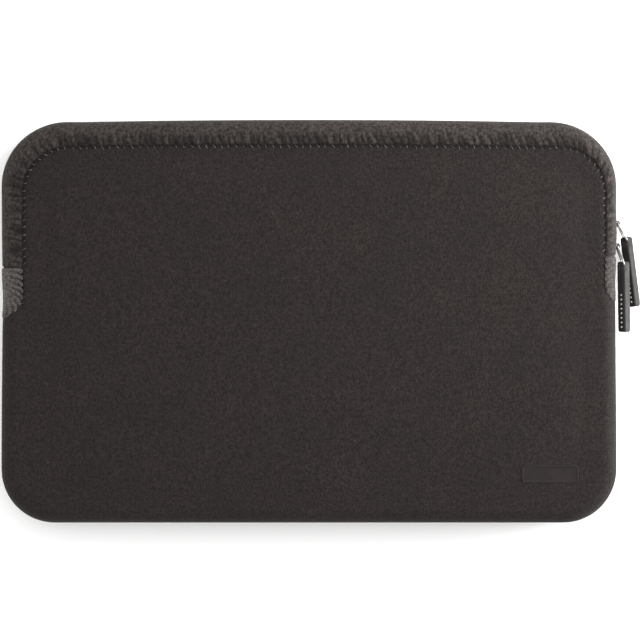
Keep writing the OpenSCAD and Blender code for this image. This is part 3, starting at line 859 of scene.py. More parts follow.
def panel_shape(back):
    """Outer sheet of a panel: padded face, sunk along the band seam and under the tabs."""
    s = bpy.context.scene.sleeve_sizes
    step = s.stitch_pitch / 2
    arc = 10
    across = 2 * arc + round(2 * (SIDE_X - s.top_r) / step)
    upward = 2 * arc + round((2 * TOP_Y - s.top_r - s.bottom_r) / step)
    points, normals, quads, zones = half_shell((across, upward, arc), 0)
    low_left = points[:, 1] < LEFT_TAB[1].y - 9 * MM
    low_right = points[:, 1] < RIGHT_TAB[1].y - 10 * MM
    low = np.where(points[:, 0] < 0, low_left, low_right)
    kept = [q for q, zone in zip(quads, zones) if zone == "inside" or all(low[i] for i in q)]
    used = sorted({i for q in kept for i in q})
    where = {old: new for new, old in enumerate(used)}
    points, normals = points[used], normals[used]
    quads = [[where[i] for i in q] for q in kept]
    distance, along = seam_distance(points)
    inset = inset_at(points[:, 0], points[:, 1])
    held = np.clip(1 - (np.minimum(distance, inset) - 2 * MM) / (14 * MM), 0, 1)
    held = np.where((inset < s.edge_r + 1 * MM) | (distance < 1.5 * MM), 1.0, held ** 2)
    points = pad_out(points, quads, held, s.swell)
    near = np.clip(1 - distance / (2.6 * MM), 0, 1)
    pucker = 0.5 + 0.5 * np.cos(2 * math.pi * along / s.stitch_pitch)
    ripple = np.exp(-(((distance - 2.4 * MM) / (1.6 * MM)) ** 2))
    sink = s.seam_sink * near ** 1.5 - 0.28 * MM * ripple * pucker
    sink = np.where(above_tabs(points), sink, 0)
    sink = sink + 1.0 * MM * under_tabs(points)
    groove = np.clip(1 - (points[:, 2] - MID_Z) / (1.4 * MM), 0, 1) * (inset < 0.5 * MM)
    sink = sink + 0.6 * MM * groove
    points = points - normals * sink[:, None]
    points = settled(points)
    # painted shade: darker along the band seam, in the groove of the closing seam and in the hollows between
    # puckers
    seam_shade = np.where(above_tabs(points), 0.5 * np.clip(1 - distance / (1.7 * MM), 0, 1), 0)
    shade = (1 - seam_shade) * (1 - 0.35 * groove) * (1 - 0.12 * ripple * (1 - pucker) * above_tabs(points))
    if back:
        points[:, 2] = np.minimum(points[:, 2], THICK)
        mirror = np.array((1, 1, -1))
        return mirrored(points), normals * mirror, [list(reversed(q)) for q in quads], shade
    return points, normals, quads, shade


class SLEEVE_OT_panels(bpy.types.Operator):
    """Sew the padded front and back panels"""

    bl_idname = "sleeve.panels"
    bl_label = "Panels"

    def execute(self, context):
        wall = context.scene.sleeve_sizes.panel_wall
        for back, name in ((False, "front_face"), (True, "back_face")):
            sheet, normals, quads, shade = panel_shape(back)
            points, faces = thicken(sheet, normals, quads, wall)
            piece = make_piece(name, points, faces, "face",
                               "case" if back else None, subdivide=1, shade=shade)
            if back:
                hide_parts("back_panel")
            else:
                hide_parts("front_panel_lower", "front_panel_upper")
                cross_fold(piece)
        return {"FINISHED"}


# ---------- the zip band ----------

class Route:
    """A line in plan, with the outward direction and the length so far at each of its points."""

    def __init__(self, points, out, counts=()):
        self.points, self.out, self.counts = np.array(points), np.array(out), tuple(counts)
        steps = np.linalg.norm(np.diff(self.points, axis=0), axis=1)
        self.length = np.concatenate([[0], np.cumsum(steps)])

    def at(self, s):
        """Plan points and outward vectors at lengths along the route."""
        p = np.column_stack([np.interp(s, self.length, self.points[:, k]) for k in (0, 1)])
        n = np.column_stack([np.interp(s, self.length, self.out[:, k]) for k in (0, 1)])
        return p, n / np.linalg.norm(n, axis=1)[:, None]


def band_route(low_left, low_right, step, seam_share=0.0):
    """The band's route from the left tab over the top to the right tab, between the outline and the seam."""
    s = bpy.context.scene.sleeve_sizes
    r = s.top_r + seam_share * (s.seam_r - s.top_r)
    x0, x1 = -SIDE_X + seam_share * SEAM_LEFT, SIDE_X - seam_share * SEAM_RIGHT
    y1 = TOP_Y - seam_share * s.seam_top
    points, out = [], []

    def straight(count, start, stop, place, normal):
        for i in range(count):
            points.append(place(start + (stop - start) * i / count))
            out.append(normal)

    def turn(count, cx, first):
        for i in range(count):
            angle = math.radians(first - 90 * i / count)
            out.append((math.cos(angle), math.sin(angle)))
            points.append((cx + r * math.cos(angle), y1 - r + r * math.sin(angle)))

    lengths = (y1 - r - low_left, (x1 - r) - (x0 + r), y1 - r - low_right)
    counts = step if isinstance(step, tuple) else (
        [max(2, round(length / step)) for length in lengths] + [max(4, round(r * math.pi / 2 / step))])
    straight(counts[0], low_left, y1 - r, lambda v: (x0, v), (-1, 0))
    turn(counts[3], x0 + r, 180)
    straight(counts[1], x0 + r, x1 - r, lambda v: (v, y1), (0, 1))
    turn(counts[3], x1 - r, 90)
    straight(counts[2], y1 - r, low_right, lambda v: (x1, v), (1, 0))
    points.append((x1, low_right))
    out.append((1, 0))
    return Route(points, out, counts)


BAND_SHARES = (0, 0.03, 0.08, 0.15, 0.23, 0.32, 0.41, 0.50, 0.58, 0.65,
               0.71, 0.77, 0.82, 0.87, 0.92, 0.96, 1.0)


def band_shape():
    """Outer sheet of the zip band, gathered in lumps beside its seam."""
    s = bpy.context.scene.sleeve_sizes
    step = s.stitch_pitch / 6
    tuck = 3 * MM
    low_left, low_right = LEFT_TAB[1].y - tuck, RIGHT_TAB[1].y - tuck
    seam = band_route(low_left, low_right, step, 1.0)
    rows, normals = [], []
    for share in BAND_SHARES:
        plan = band_route(low_left, low_right, seam.counts, share).points
        inset = inset_at(plan[:, 0], plan[:, 1])
        rows.append(np.column_stack([plan, MID_Z + face_height(inset)]))
        normals.append(face_normal(plan, inset))
    rows[0][:, 2] = MID_Z + SLOT_HALF
    normals[0] = np.column_stack([seam.out, np.zeros(len(seam.out))])
    luck = np.random.default_rng(7)
    lumps = math.ceil(seam.length[-1] / s.stitch_pitch) + 2
    tall = luck.uniform(0.45, 1.25, lumps)
    drift = luck.uniform(-0.35, 0.35, lumps)
    reach = luck.uniform(0.8, 1.2, lumps)
    turn = seam.length / s.stitch_pitch
    turn = turn + np.interp(turn, np.arange(lumps), drift)
    lean = np.interp(turn, np.arange(lumps), luck.uniform(-0.05, 0.09, lumps))
    wide = np.linalg.norm(rows[0][:, :2] - seam.points, axis=1)
    room = np.clip(wide / (11 * MM), 0.5, 1)
    shades = []
    for row, normal in zip(rows, normals):
        gap = np.linalg.norm(row[:, :2] - seam.points, axis=1) / room
        leant = turn + lean * gap / MM
        which = np.clip(np.round(leant).astype(int), 0, lumps - 1)
        pinch = np.abs(np.mod(leant, 1) - 0.5) * 2
        cleft = np.clip(1 - np.clip(pinch, 0, 1) ** 0.6 * tall[which], 0, 1)
        valley = s.seam_sink * np.clip(1 - gap / (1.3 * MM), 0, 1) ** 1.2
        ridge = np.exp(-(((gap - 2.7 * MM * reach[which]) / (1.8 * MM)) ** 2))
        lift = s.lump * ridge * (1.05 - 1.6 * cleft) * room - valley
        end_y = np.where(row[:, 0] < 0, LEFT_TAB[1].y, RIGHT_TAB[1].y)
        covered = np.clip(1 - (row[:, 1] - end_y) / (1.2 * MM), 0, 1)
        lift = lift * (1 - covered) - 1.0 * MM * covered
        row += normal * lift[:, None]
        # painted shade and light: darker towards the seam, darkest at it and in the clefts between lumps,
        # painted highlight on the lumps
        toward = np.clip(1 - gap / (7.5 * MM), 0, 1)
        gathered = np.clip(gap / (0.9 * MM), 0, 1) * np.clip((7.6 * MM * reach[which] - gap) / (3 * MM), 0, 1)
        shades.append((1 - 0.34 * toward) * (1 + gathered * (0.34 - 1.15 * cleft))
                      * (1 - 0.5 * np.clip(1 - gap / (1.1 * MM), 0, 1)))
    points = settled(np.concatenate(rows))
    quads = [list(reversed(q)) for q in band_quads(len(rows), len(seam.points))]
    return points, np.concatenate(normals), quads, np.concatenate(shades)


class SLEEVE_OT_band(bpy.types.Operator):
    """Sew the zip band on the front and the back"""

    bl_idname = "sleeve.band"
    bl_label = "Zip band"

    def execute(self, context):
        wall = context.scene.sleeve_sizes.panel_wall * 0.9
        sheet, normals, quads, shade = band_shape()
        points, faces = thicken(sheet, normals, quads, wall)
        front = make_piece("front_zip_band", points, faces, "band", shade=shade)
        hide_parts("front_band", "front_band_end")
        cross_fold(front)
        back = make_piece("back_zip_band", mirrored(points), flipped(faces), "band", "case",
                          shade=shade)
        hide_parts("back_band")
        return {"FINISHED"}


# ---------- stitching ----------

def surface_lift(points):
    """Front surface points and normals above plan points."""
    inset = inset_at(points[:, 0], points[:, 1])
    base = np.column_stack([points, MID_Z + face_height(inset)])
    return base, face_normal(points, inset)


def cover_stitches(lengths, seam):
    """One thread path per stitch over the band seam."""
    luck = np.random.default_rng(11)
    places, out = seam.at(lengths)
    along = np.column_stack([out[:, 1], -out[:, 0]])
    across = np.array((0.6, 0.0, -0.5, -0.9, -1.3, -1.7)) * MM
    lift = np.array((-1.5, -1.0, -0.4, -0.05, -0.15, -0.8)) * MM
    paths = []
    for place, normal, tangent in zip(places, out, along):
        slant = luck.uniform(-0.9, -0.1)
        size = luck.uniform(0.75, 1.1)
        plan = place + normal * across[:, None] * size + tangent * across[:, None] * slant
        base, up = surface_lift(plan)
        paths.append(settled(base + up * (lift + 0.05 * MM)[:, None]))
    return paths


class SLEEVE_OT_stitching(bpy.types.Operator):
    """Stitch the band seams and the closing seam"""

    bl_idname = "sleeve.stitching"
    bl_label = "Stitching"

    def execute(self, context):
        s = context.scene.sleeve_sizes
        seam = band_route(LEFT_TAB[1].y, RIGHT_TAB[1].y, s.stitch_pitch / 4, 1.0)
        lengths = np.arange(0.4 * s.stitch_pitch, seam.length[-1] - 0.5 * MM, s.stitch_pitch)
        paths = cover_stitches(lengths, seam)
        points, faces = tubes(paths, s.thread_d / 2)
        front = make_piece("front_cover_stitches", points, faces, "thread")
        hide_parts("front_seam_thread", "front_seam_thread_end")
        cross_fold(front)
        back = make_piece("back_cover_stitches", mirrored(points), flipped(faces), "thread", "case")
        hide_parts("back_seam_thread")
        self.closing_seam(s)
        return {"FINISHED"}

    def closing_seam(self, s):
        """Short stitches in the groove along the lower sides and the bottom."""
        ring = lower_route(LEFT_TAB[0].y - 1 * MM, RIGHT_TAB[0].y - 1 * MM, s.stitch_pitch / 4)
        total = ring.length[-1]
        half = 1.15 * MM
        paths = []
        for start in np.arange(2 * MM, total - 2 * MM, s.stitch_pitch):
            lengths = start + np.array((-1, -0.5, 0, 0.5, 1)) * half
            depth = np.array((0.75, 0.4, 0.3, 0.4, 0.75)) * MM
            place, out = ring.at(lengths)
            plan = place - out * depth[:, None]
            paths.append(settled(np.column_stack([plan, np.full(len(plan), MID_Z)])))
        points, faces = tubes(paths, s.thread_d / 2)
        piece = make_piece("closing_stitches", points, faces, "thread", "case")
        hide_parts("side_seam_thread")


def lower_route(left_y, right_y, step):
    """Route along the outline from a height on the left side, round the bottom, to one on the right."""
    s = bpy.context.scene.sleeve_sizes
    r = s.bottom_r
    places, out = [], []
    turn_y = -TOP_Y + r
    for y in np.arange(left_y, turn_y, -step):
        places.append((-SIDE_X, y))
        out.append((-1, 0))
    corner = max(6, round(r * math.pi / 2 / step))
    for centre, first in ((-SIDE_X + r, 180), (SIDE_X - r, 270)):
        for i in range(corner + 1):
            angle = math.radians(first + 90 * i / corner)
            out.append((math.cos(angle), math.sin(angle)))
            places.append((centre + r * out[-1][0], turn_y + r * out[-1][1]))
        if first == 180:
            for x in np.arange(-SIDE_X + r + step, SIDE_X - r - step / 2, step):
                places.append((x, -TOP_Y))
                out.append((0, -1))
    for y in np.arange(turn_y + step, right_y, step):
        places.append((SIDE_X, y))
        out.append((1, 0))
    return Route(places, out)


# ---------- end tabs ----------

def tab_reach(y, box, foot_r, straight):
    """Width of an end tab in plan at heights y: full, then drawn in over its round foot."""
    width = box[1].x - box[0].x
    foot_y = box[1].y - straight
    drop = np.clip(foot_y - y, 0, foot_r)
    return np.where(y >= foot_y, width, width - foot_r + np.sqrt(np.maximum(foot_r ** 2 - drop ** 2, 0)))


TAB_COLUMNS = 24
TAB_ROWS = 72
TAB_WALL = 1.2 * MM
GATHER_PITCH = 3.4 * MM


def tab_section(y, reach, side, lift):
    """One row across an end tab, from its front edge over the side to its back edge."""
    s = bpy.context.scene.sleeve_sizes
    insets = np.maximum(reach, 0.05 * MM) * (1 - np.linspace(0, 1, TAB_COLUMNS))
    rows = []
    for inset in insets:
        height = face_height(np.array([inset]))[0]
        level = min(1, (s.edge_r - inset) / s.edge_r) if inset < s.edge_r else 0
        normal = np.array((side * level, 0, math.sqrt(1 - level * level)))
        rows.append(np.array((side * (SIDE_X - inset), y, MID_Z + height)) + normal * lift)
    for share in (0.66, 0.33):
        rows.append(np.array((side * (SIDE_X + lift), y, MID_Z + SLOT_HALF * share)))
    front = np.array(rows)
    middle = np.array([[side * (SIDE_X + lift), y, MID_Z]])
    return np.concatenate([front, middle, mirrored(front)[::-1]])


# name, side, box, straight inner edge, foot radius, height of the gathers, lighter band near the top, painted
# shade that dims the whole tab against the side lamp
TABS = (
    ("left", -1, LEFT_TAB, 13 * MM, 12.9 * MM, 0.8 * MM, 0.05, 1.0),
    ("right", 1, RIGHT_TAB, 14.5 * MM, 9.6 * MM, 0.22 * MM, 0.3, 0.62),
)


class SLEEVE_OT_end_tabs(bpy.types.Operator):
    """Fold the elastic end tabs over the ends of the zip and overlock their edges"""

    bl_idname = "sleeve.end_tabs"
    bl_label = "End tabs"

    def execute(self, context):
        thread = context.scene.sleeve_sizes.thread_d
        cords = []
        for name, side, box, straight, foot_r, gather, hem, painted_dimming in TABS:
            self.tab(name, side, box, straight, foot_r, gather, hem, painted_dimming)
            cords += self.overlock(side, box, straight, foot_r)
        points, faces = tubes(cords, thread * 0.5, 6)
        points[:, 2] = np.maximum(points[:, 2], REST_GAP)
        piece = make_piece("tab_overlock", points, faces, "dark_thread", "case")
        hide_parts("end_tab_thread")
        return {"FINISHED"}

    def tab(self, name, side, box, straight, foot_r, gather, hem, painted_dimming):
        heights = np.linspace(box[1].y, box[0].y + 0.4 * MM, TAB_ROWS)
        reach = tab_reach(heights, box, foot_r, straight)
        length = heights[0] - heights[-1]
        rows, shades = [], []
        for y, w in zip(heights, reach):
            down = heights[0] - y
            end = min(1, down / (0.8 * MM)) * min(1, (y - heights[-1]) / (1.2 * MM) + 0.2)
            section = tab_section(y, w, side, 0.35 * MM * end)
            order = np.arange(len(section))
            edge = np.minimum(order, order[::-1])
            inward = edge * w / (TAB_COLUMNS - 1)
            fan = 0.15 + 1.15 * down / length
            finger = np.abs(np.sin(math.pi * (down + fan * inward) / GATHER_PITCH)) ** 0.9
            fade = np.exp(-((inward / (7 * MM)) ** 2)) * end
            lift = gather * (finger - 0.62) * fade - 0.45 * MM * np.exp(-inward / (0.5 * MM)) * (1.4 - finger)
            section[:, 2] += lift * np.sign(section[:, 2] - MID_Z) * (edge < TAB_COLUMNS)
            scallop = 1.5 * gather * (1 - finger) * np.exp(-inward / (1.6 * MM)) * min(1, w / (3 * MM))
            section[:, 0] += side * scallop
            rows.append(section)
            # painted shade: dark in the clefts between gathers and lighter away from them; pale gives a
            # lighter band near the top and a darker top edge; the last factor dims the right tab against the
            # side lamp
            pale = 1 + hem * (0.7 * MM < down < 3.2 * MM) - 0.4 * (down < 0.7 * MM)
            dark = min(0.92, 1.7 * gather / MM) * (1 - finger) * fade
            shades.append((1 - dark) * pale * (1 + 0.35 * (1 - fade)) * painted_dimming)
        points = np.concatenate(rows)
        columns = len(rows[0])
        quads = band_quads(len(rows), columns)
        if side > 0:
            quads = [list(reversed(q)) for q in quads]
        normals = quad_normals(points, quads)
        points, faces = thicken(settled(points), normals, quads, TAB_WALL)
        piece = make_piece("elastic_tab_" + name, points, faces, "tab", "case",
                           shade=np.concatenate(shades))
        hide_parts("end_tab_" + name)

    def overlock(self, side, box, straight, foot_r):
        """Cord-like loops over a tab's front and back inner edge, fanned round its foot."""
        pitch = GATHER_PITCH
        width = box[1].x - box[0].x
        foot_y = box[1].y - straight
        edge_x = SIDE_X - width
        places = []
        for y in np.arange(box[1].y - 0.8 * MM, foot_y, -pitch):
            places.append((edge_x, y, 0.0))
        turns = np.arange(0.5 * pitch / foot_r, math.radians(62), pitch / foot_r)
        for turn in turns:
            places.append((edge_x + foot_r - foot_r * math.cos(turn), foot_y - foot_r * math.sin(turn), turn))
        across = np.array((1.3, 0.9, 0.3, -0.3, -0.8, -1.3)) * MM
        lift = np.array((-0.1, 0.25, 0.32, 0.2, 0.0, -0.5)) * MM
        paths = []
        for x, y, turn in places:
            direction = np.array((math.cos(turn), math.sin(turn) if y < foot_y else 0))
            plan = np.array((x, y)) + across[:, None] * direction
            plan[:, 0] *= side
            base, up = surface_lift(plan)
            path = settled(base + up * lift[:, None])
            paths += [path, mirrored(path)]
        return paths


def quad_normals(points, quads):
    """Smooth vertex normals of a sheet of quads."""
    normals = np.zeros_like(points)
    q = np.array(quads)
    face = np.cross(points[q[:, 2]] - points[q[:, 0]], points[q[:, 3]] - points[q[:, 1]])
    for k in range(4):
        np.add.at(normals, q[:, k], face)
    return normals / np.maximum(np.linalg.norm(normals, axis=1), 1e-15)[:, None]


# ---------- lining, binding and label ----------

class SLEEVE_OT_lining(bpy.types.Operator):
    """Line the pocket with plush and bind its inner seam"""

    bl_idname = "sleeve.lining"
    bl_label = "Lining"

    def execute(self, context):
        s = context.scene.sleeve_sizes
        arc = 7
        step = 4 * MM
        across = 2 * arc + round(2 * (SIDE_X - s.top_r) / step)
        upward = 2 * arc + round((2 * TOP_Y - s.top_r - s.bottom_r) / step)
        points, normals, quads, _ = half_shell((across, upward, arc), s.panel_wall)
        inset = inset_at(points[:, 0], points[:, 1])
        free = (inset > s.edge_r + 0.3 * MM) | ~above_tabs(points, 8 * MM)
        quads = [q for q in quads if all(free[i] for i in q)]
        points[:, 2] -= 0.25 * MM * np.clip((inset - s.edge_r) / (20 * MM), 0, 1)
        solid, faces = thicken(settled(points), normals, quads, s.lining_wall)
        solid, faces = used_only(solid, faces)
        front = make_piece("front_plush", solid, faces, "lining", subdivide=1)
        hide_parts("front_lining_lower", "front_lining_upper")
        cross_fold(front)
        back = make_piece("back_plush", mirrored(solid), flipped(faces), "lining", "case",
                          subdivide=1)
        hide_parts("back_lining")
        self.binding()
        self.label()
        return {"FINISHED"}

    def binding(self):
        """Strip of binding over the closing seam, inside the pocket."""
        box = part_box("seam_binding")
        depth = SIDE_X - box[1].x
        wall = 0.6 * MM
        route = lower_route(LEFT_TAB[1].y - 9 * MM, RIGHT_TAB[1].y - 9 * MM, 2 * MM)
        rows = []
        heights = np.linspace(box[0].z, box[1].z, 9)
        for z in heights:
            level = (z - MID_Z) / (box[1].z - MID_Z)
            plan = route.points - route.out * (depth + 0.25 * MM * level ** 4)
            rows.append(np.column_stack([plan, np.full(len(plan), z)]))
        points = np.concatenate(rows)
        quads = band_quads(len(rows), len(route.points))
        normals = np.tile(np.column_stack([route.out, np.zeros(len(route.out))]), (len(rows), 1))
        solid, faces = thicken(settled(points), normals, quads, wall)
        piece = make_piece("seam_tape", solid, faces, "binding", "case")
        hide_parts("seam_binding")

    def label(self):
        """Blank satin label lying on the back lining, sewn along its left edge."""
        columns, rows = 13, 21
        points = []
        for j in range(rows):
            for i in range(columns):
                u, v = i / (columns - 1), j / (rows - 1)
                lift = 0.35 * MM + 0.5 * MM * u ** 2 * (0.6 + 0.4 * math.sin(3.1 * v + 0.6))
                points.append((LABEL[0].x + (LABEL[1].x - LABEL[0].x) * u,
                               LABEL[0].y + (LABEL[1].y - LABEL[0].y) * v, LABEL[0].z + lift))
        points = np.array(points)
        quads = band_quads(rows, columns)
        solid, faces = thicken(points, quad_normals(points, quads), quads, 0.25 * MM)
        piece = make_piece("blank_label", solid, faces, "label", "case")
        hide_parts("care_label")


# ---------- zip ----------

TAPE_RUN = tuple(height * MM for height in (1.0, 2.0, 3.1, 3.8, 4.5))
TAPE_TURN = (12, 24, 34, 41)
TAPE_RIBS = (0, 0.06, -0.04, 0.05, 0, 0.05, -0.04, 0.05, 0)
TAPE_WALL = 0.7 * MM


class SLEEVE_OT_zip(bpy.types.Operator):
    """Lay the zip tapes and wind their coils"""

    bl_idname = "sleeve.zip"
    bl_label = "Zip"

    def execute(self, context):
        self.tapes()
        self.coils()
        for node in ("zip_stop_left", "zip_stop_right"):
            stop = frame["nodes"][node]
            keep_materials(stop, "coil")
            round_off = stop.modifiers.new("round", "BEVEL")
            round_off.width, round_off.segments, round_off.limit_method = 0.25 * MM, 3, "ANGLE"
        return {"FINISHED"}

    def tapes(self):
        s = bpy.context.scene.sleeve_sizes
        tail = 8 * MM
        route = band_route(LEFT_TAB[1].y - tail, RIGHT_TAB[1].y - tail, 1.9 * MM)
        depth = s.panel_wall + 0.05 * MM
        roll = s.edge_r - depth
        rows, normals = [], []
        for height in TAPE_RUN:
            rows.append(np.column_stack([route.points - route.out * depth,
                                         np.full(len(route.out), MID_Z + height)]))
            normals.append(np.column_stack([route.out, np.zeros(len(route.out))]))
        for degrees in TAPE_TURN:
            angle = math.radians(degrees)
            inset = s.edge_r - roll * math.cos(angle)
            height = MID_Z + SLOT_HALF + roll * math.sin(angle)
            rows.append(np.column_stack([route.points - route.out * inset, np.full(len(route.out), height)]))
            normals.append(np.column_stack([route.out * math.cos(angle),
                                            np.full(len(route.out), math.sin(angle))]))
        ribs = np.array(TAPE_RIBS) * MM
        normals = np.concatenate(normals)
        points = np.concatenate(rows) + normals * np.repeat(ribs, len(route.out))[:, None]
        quads = [list(reversed(q)) for q in band_quads(len(rows), len(route.out))]
        solid, faces = thicken(settled(points), normals, quads, TAPE_WALL)
        front = make_piece("front_zip_tape", solid, faces, "tape")
        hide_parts("zip_tape_front", "zip_tape_front_ends")
        cross_fold(front)
        back = make_piece("back_zip_tape", mirrored(solid), flipped(faces), "tape", "case")
        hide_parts("zip_tape_back")

    def coils(self):
        z = bpy.context.scene.sleeve_zip
        s = bpy.context.scene.sleeve_sizes
        route = band_route(LEFT_TAB[1].y + 0.3 * MM, RIGHT_TAB[1].y + 0.3 * MM, 2 * MM)
        per_turn = 10
        turns = int(route.length[-1] / z.coil_pitch)
        phase = np.arange(turns * per_turn + 1) * 2 * math.pi / per_turn
        middle, half = 1.45 * MM, 1.6 * MM
        depth_middle, depth_half = s.panel_wall - 0.85 * MM, 0.55 * MM
        made = []
        for back in (False, True):
            run = phase / (2 * math.pi) * z.coil_pitch + (z.coil_pitch / 2 if back else 0)
            place, out = route.at(np.clip(run, 0, route.length[-1]))
            depth = depth_middle - depth_half * np.sin(phase)
            height = middle - half * np.cos(phase) * (1 - 0.1 * np.sin(phase) ** 2)
            plan = place - out * depth[:, None]
            path = settled(np.column_stack([plan, MID_Z + height]))
            points, faces = tubes([path], z.coil_wire / 2, 6)
            if back:
                points, faces = mirrored(points), flipped(faces)
            made.append(make_piece("back_coil" if back else "front_coil", points, faces, "coil",
                                   "case" if back else None))
        front, back = made
        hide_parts("zip_coil_front", "zip_coil_front_end")
        cross_fold(front)
        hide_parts("zip_coil_back")


def keep_materials(node, key):
    """Gives a carried-over CAD node one of the sleeve's materials."""
    node.data.materials.clear()
    node.data.materials.append(material(key))
    if REST_ATTRIBUTE not in node.data.attributes:
        keep_rest(node)


# ---------- sliders and pulls ----------

def slider_outline(half_l, half_w, nose):
    """Outline of a slider's plate: wide shoulders at the nose, narrower behind."""
    shape = [(-1.0, 0.62), (-0.93, 0.80), (-0.78, 0.88), (-0.35, 0.86), (0.05, 0.90), (0.40, 1.0),
             (0.72, 0.98), (0.90, 0.80), (1.0, 0.48), (0.97, 0.20)]
    half = [(nose * v * half_l, w * half_w) for v, w in shape]
    return np.array(half + [(y, -w) for y, w in reversed(half)])


def plate(outline, y0, x0, x1, edge):
    """Plate with rounded edges: an outline in Y and Z, between two depths along X."""
    rings = []
    for x, shrink in ((x0, 3.0), (x0 + edge * 0.3, 1.0), (x0 + edge, 0), (x1 - edge, 0),
                      (x1 - edge * 0.3, 1.0), (x1, 3.0)):
        scale = 1 - shrink * edge * 0.45 / np.abs(outline).max(0)
        rings.append([(x, y0 + y, MID_Z + z) for y, z in outline * scale])
    return loft(rings)


def arch(axis, radius, wall, half_w, foot_x):
    """Bridge-shaped lug round its axis, standing on the slider's plate."""
    rings = []
    section = rounded_square(wall / 2, half_w, wall * 0.4, 3)
    route = [(foot_x, -radius), ((foot_x + axis.x) / 2, -radius)]
    route += [(axis.x + radius * math.sin(a), -radius * math.cos(a)) for a in np.linspace(0, math.pi, 13)]
    route += [((foot_x + axis.x) / 2, radius), (foot_x, radius)]
    route = np.array(route)
    for i, (x, y) in enumerate(route):
        ahead = route[min(i + 1, len(route) - 1)] - route[max(i - 1, 0)]
        ahead /= np.linalg.norm(ahead)
        sideways = np.array((ahead[1], -ahead[0]))
        rings.append([(x + sideways[0] * u, axis.y + y + sideways[1] * u, axis.z + v) for u, v in section])
    return loft(rings)


def smoothed(path, rounds, cut):
    """A closed path with its corners cut round."""
    path = np.asarray(path, float)
    for _ in range(rounds):
        ahead = np.roll(path, -1, 0)
        path = np.stack([path + (ahead - path) * cut, ahead - (ahead - path) * cut], 1).reshape(-1, 3)
    return path


class SLEEVE_OT_sliders(bpy.types.Operator):
    """Cast the two sliders and bend their wire loops"""

    bl_idname = "sleeve.sliders"
    bl_label = "Sliders"

    def execute(self, context):
        for number, nose in ((1, -1), (2, 1)):
            self.slider(number, nose)
            self.loop(number)
        return {"FINISHED"}

    def slider(self, number, nose):
        low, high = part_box(f"slider_{number}")
        lug = Vector(JOINTS[f"loop_{number}_swing"]["pos_m"])
        middle = (low.y + high.y) / 2
        half_l, half_w = (high.y - low.y) / 2, (high.z - low.z) / 2
        wall = 1.05 * MM
        outer_x = lug.x - 1.25 * MM
        outline = slider_outline(half_l, half_w, nose)
        parts = [
            plate(outline, middle, outer_x - wall, outer_x, 0.4 * MM),
            plate(outline * 0.96, middle, low.x, low.x + wall, 0.35 * MM),
            plate(outline * (0.55, 0.6), middle, outer_x - 0.1 * MM, outer_x + 0.35 * MM, 0.3 * MM),
            arch(lug, 1.15 * MM, 0.62 * MM, 1.6 * MM, outer_x),
        ]
        post_y = middle + nose * (half_l - 1.3 * MM)
        post = rounded_square(0.8 * MM, 0.45 * MM, 0.3 * MM, 3)
        parts.append(loft([[(x, post_y + u, MID_Z + v) for u, v in post]
                           for x in (low.x + wall / 2, (low.x + outer_x) / 2, outer_x - wall / 2)]))
        flange = rounded_square(half_l * 0.6, 0.35 * MM, 0.3 * MM, 3)
        for side in (-1, 1):
            z = side * (half_w * 0.86 - 0.35 * MM)
            for x0, x1 in ((outer_x - wall - 0.7 * MM, outer_x - wall / 2),
                           (low.x + wall / 2, low.x + wall + 0.4 * MM)):
                parts.append(loft([[(x, middle - nose * 0.1 * half_l + u, MID_Z + z + v) for u, v in flange]
                                   for x in (x0, (x0 + x1) / 2, x1)]))
        points, faces = joined(parts)
        piece = make_piece(f"zip_slider_{number}", points, faces, "slider",
                           f"slider_{number}")
        soften(piece, 0.12 * MM)
        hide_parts(f"slider_{number}")

    def loop(self, number):
        z = bpy.context.scene.sleeve_zip
        lug = np.array(JOINTS[f"loop_{number}_swing"]["pos_m"])
        bar = np.array(JOINTS[f"pull_{number}_swing"]["pos_m"])
        down = bar - lug
        lean, down[2] = down[2], 0
        length = np.linalg.norm(down)
        down /= length
        neck, cross, straight, shank = 2.6 * MM, 2.95 * MM, 1.8 * MM, 3 * MM
        corners = [(0, -neck), (0, neck), (straight, neck),
                   (length - shank, lean + cross), (length, lean + cross),
                   (length, lean - cross), (length - shank, lean - cross), (straight, -neck)]
        path = smoothed([lug + down * u + np.array((0, 0, v)) for u, v in corners], 4, 0.2)
        points, faces = tubes([path], z.wire_d / 2, 14, closed=True)
        piece = make_piece(f"wire_loop_{number}", points, faces, "wire", f"loop_{number}")
        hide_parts(f"pull_loop_{number}")


def soften(piece, width):
    """Rounds the hard edges of a cast piece."""
    bevel = piece.modifiers.new("round", "BEVEL")
    bevel.width, bevel.segments, bevel.limit_method, bevel.angle_limit = width, 2, "ANGLE", math.radians(40)


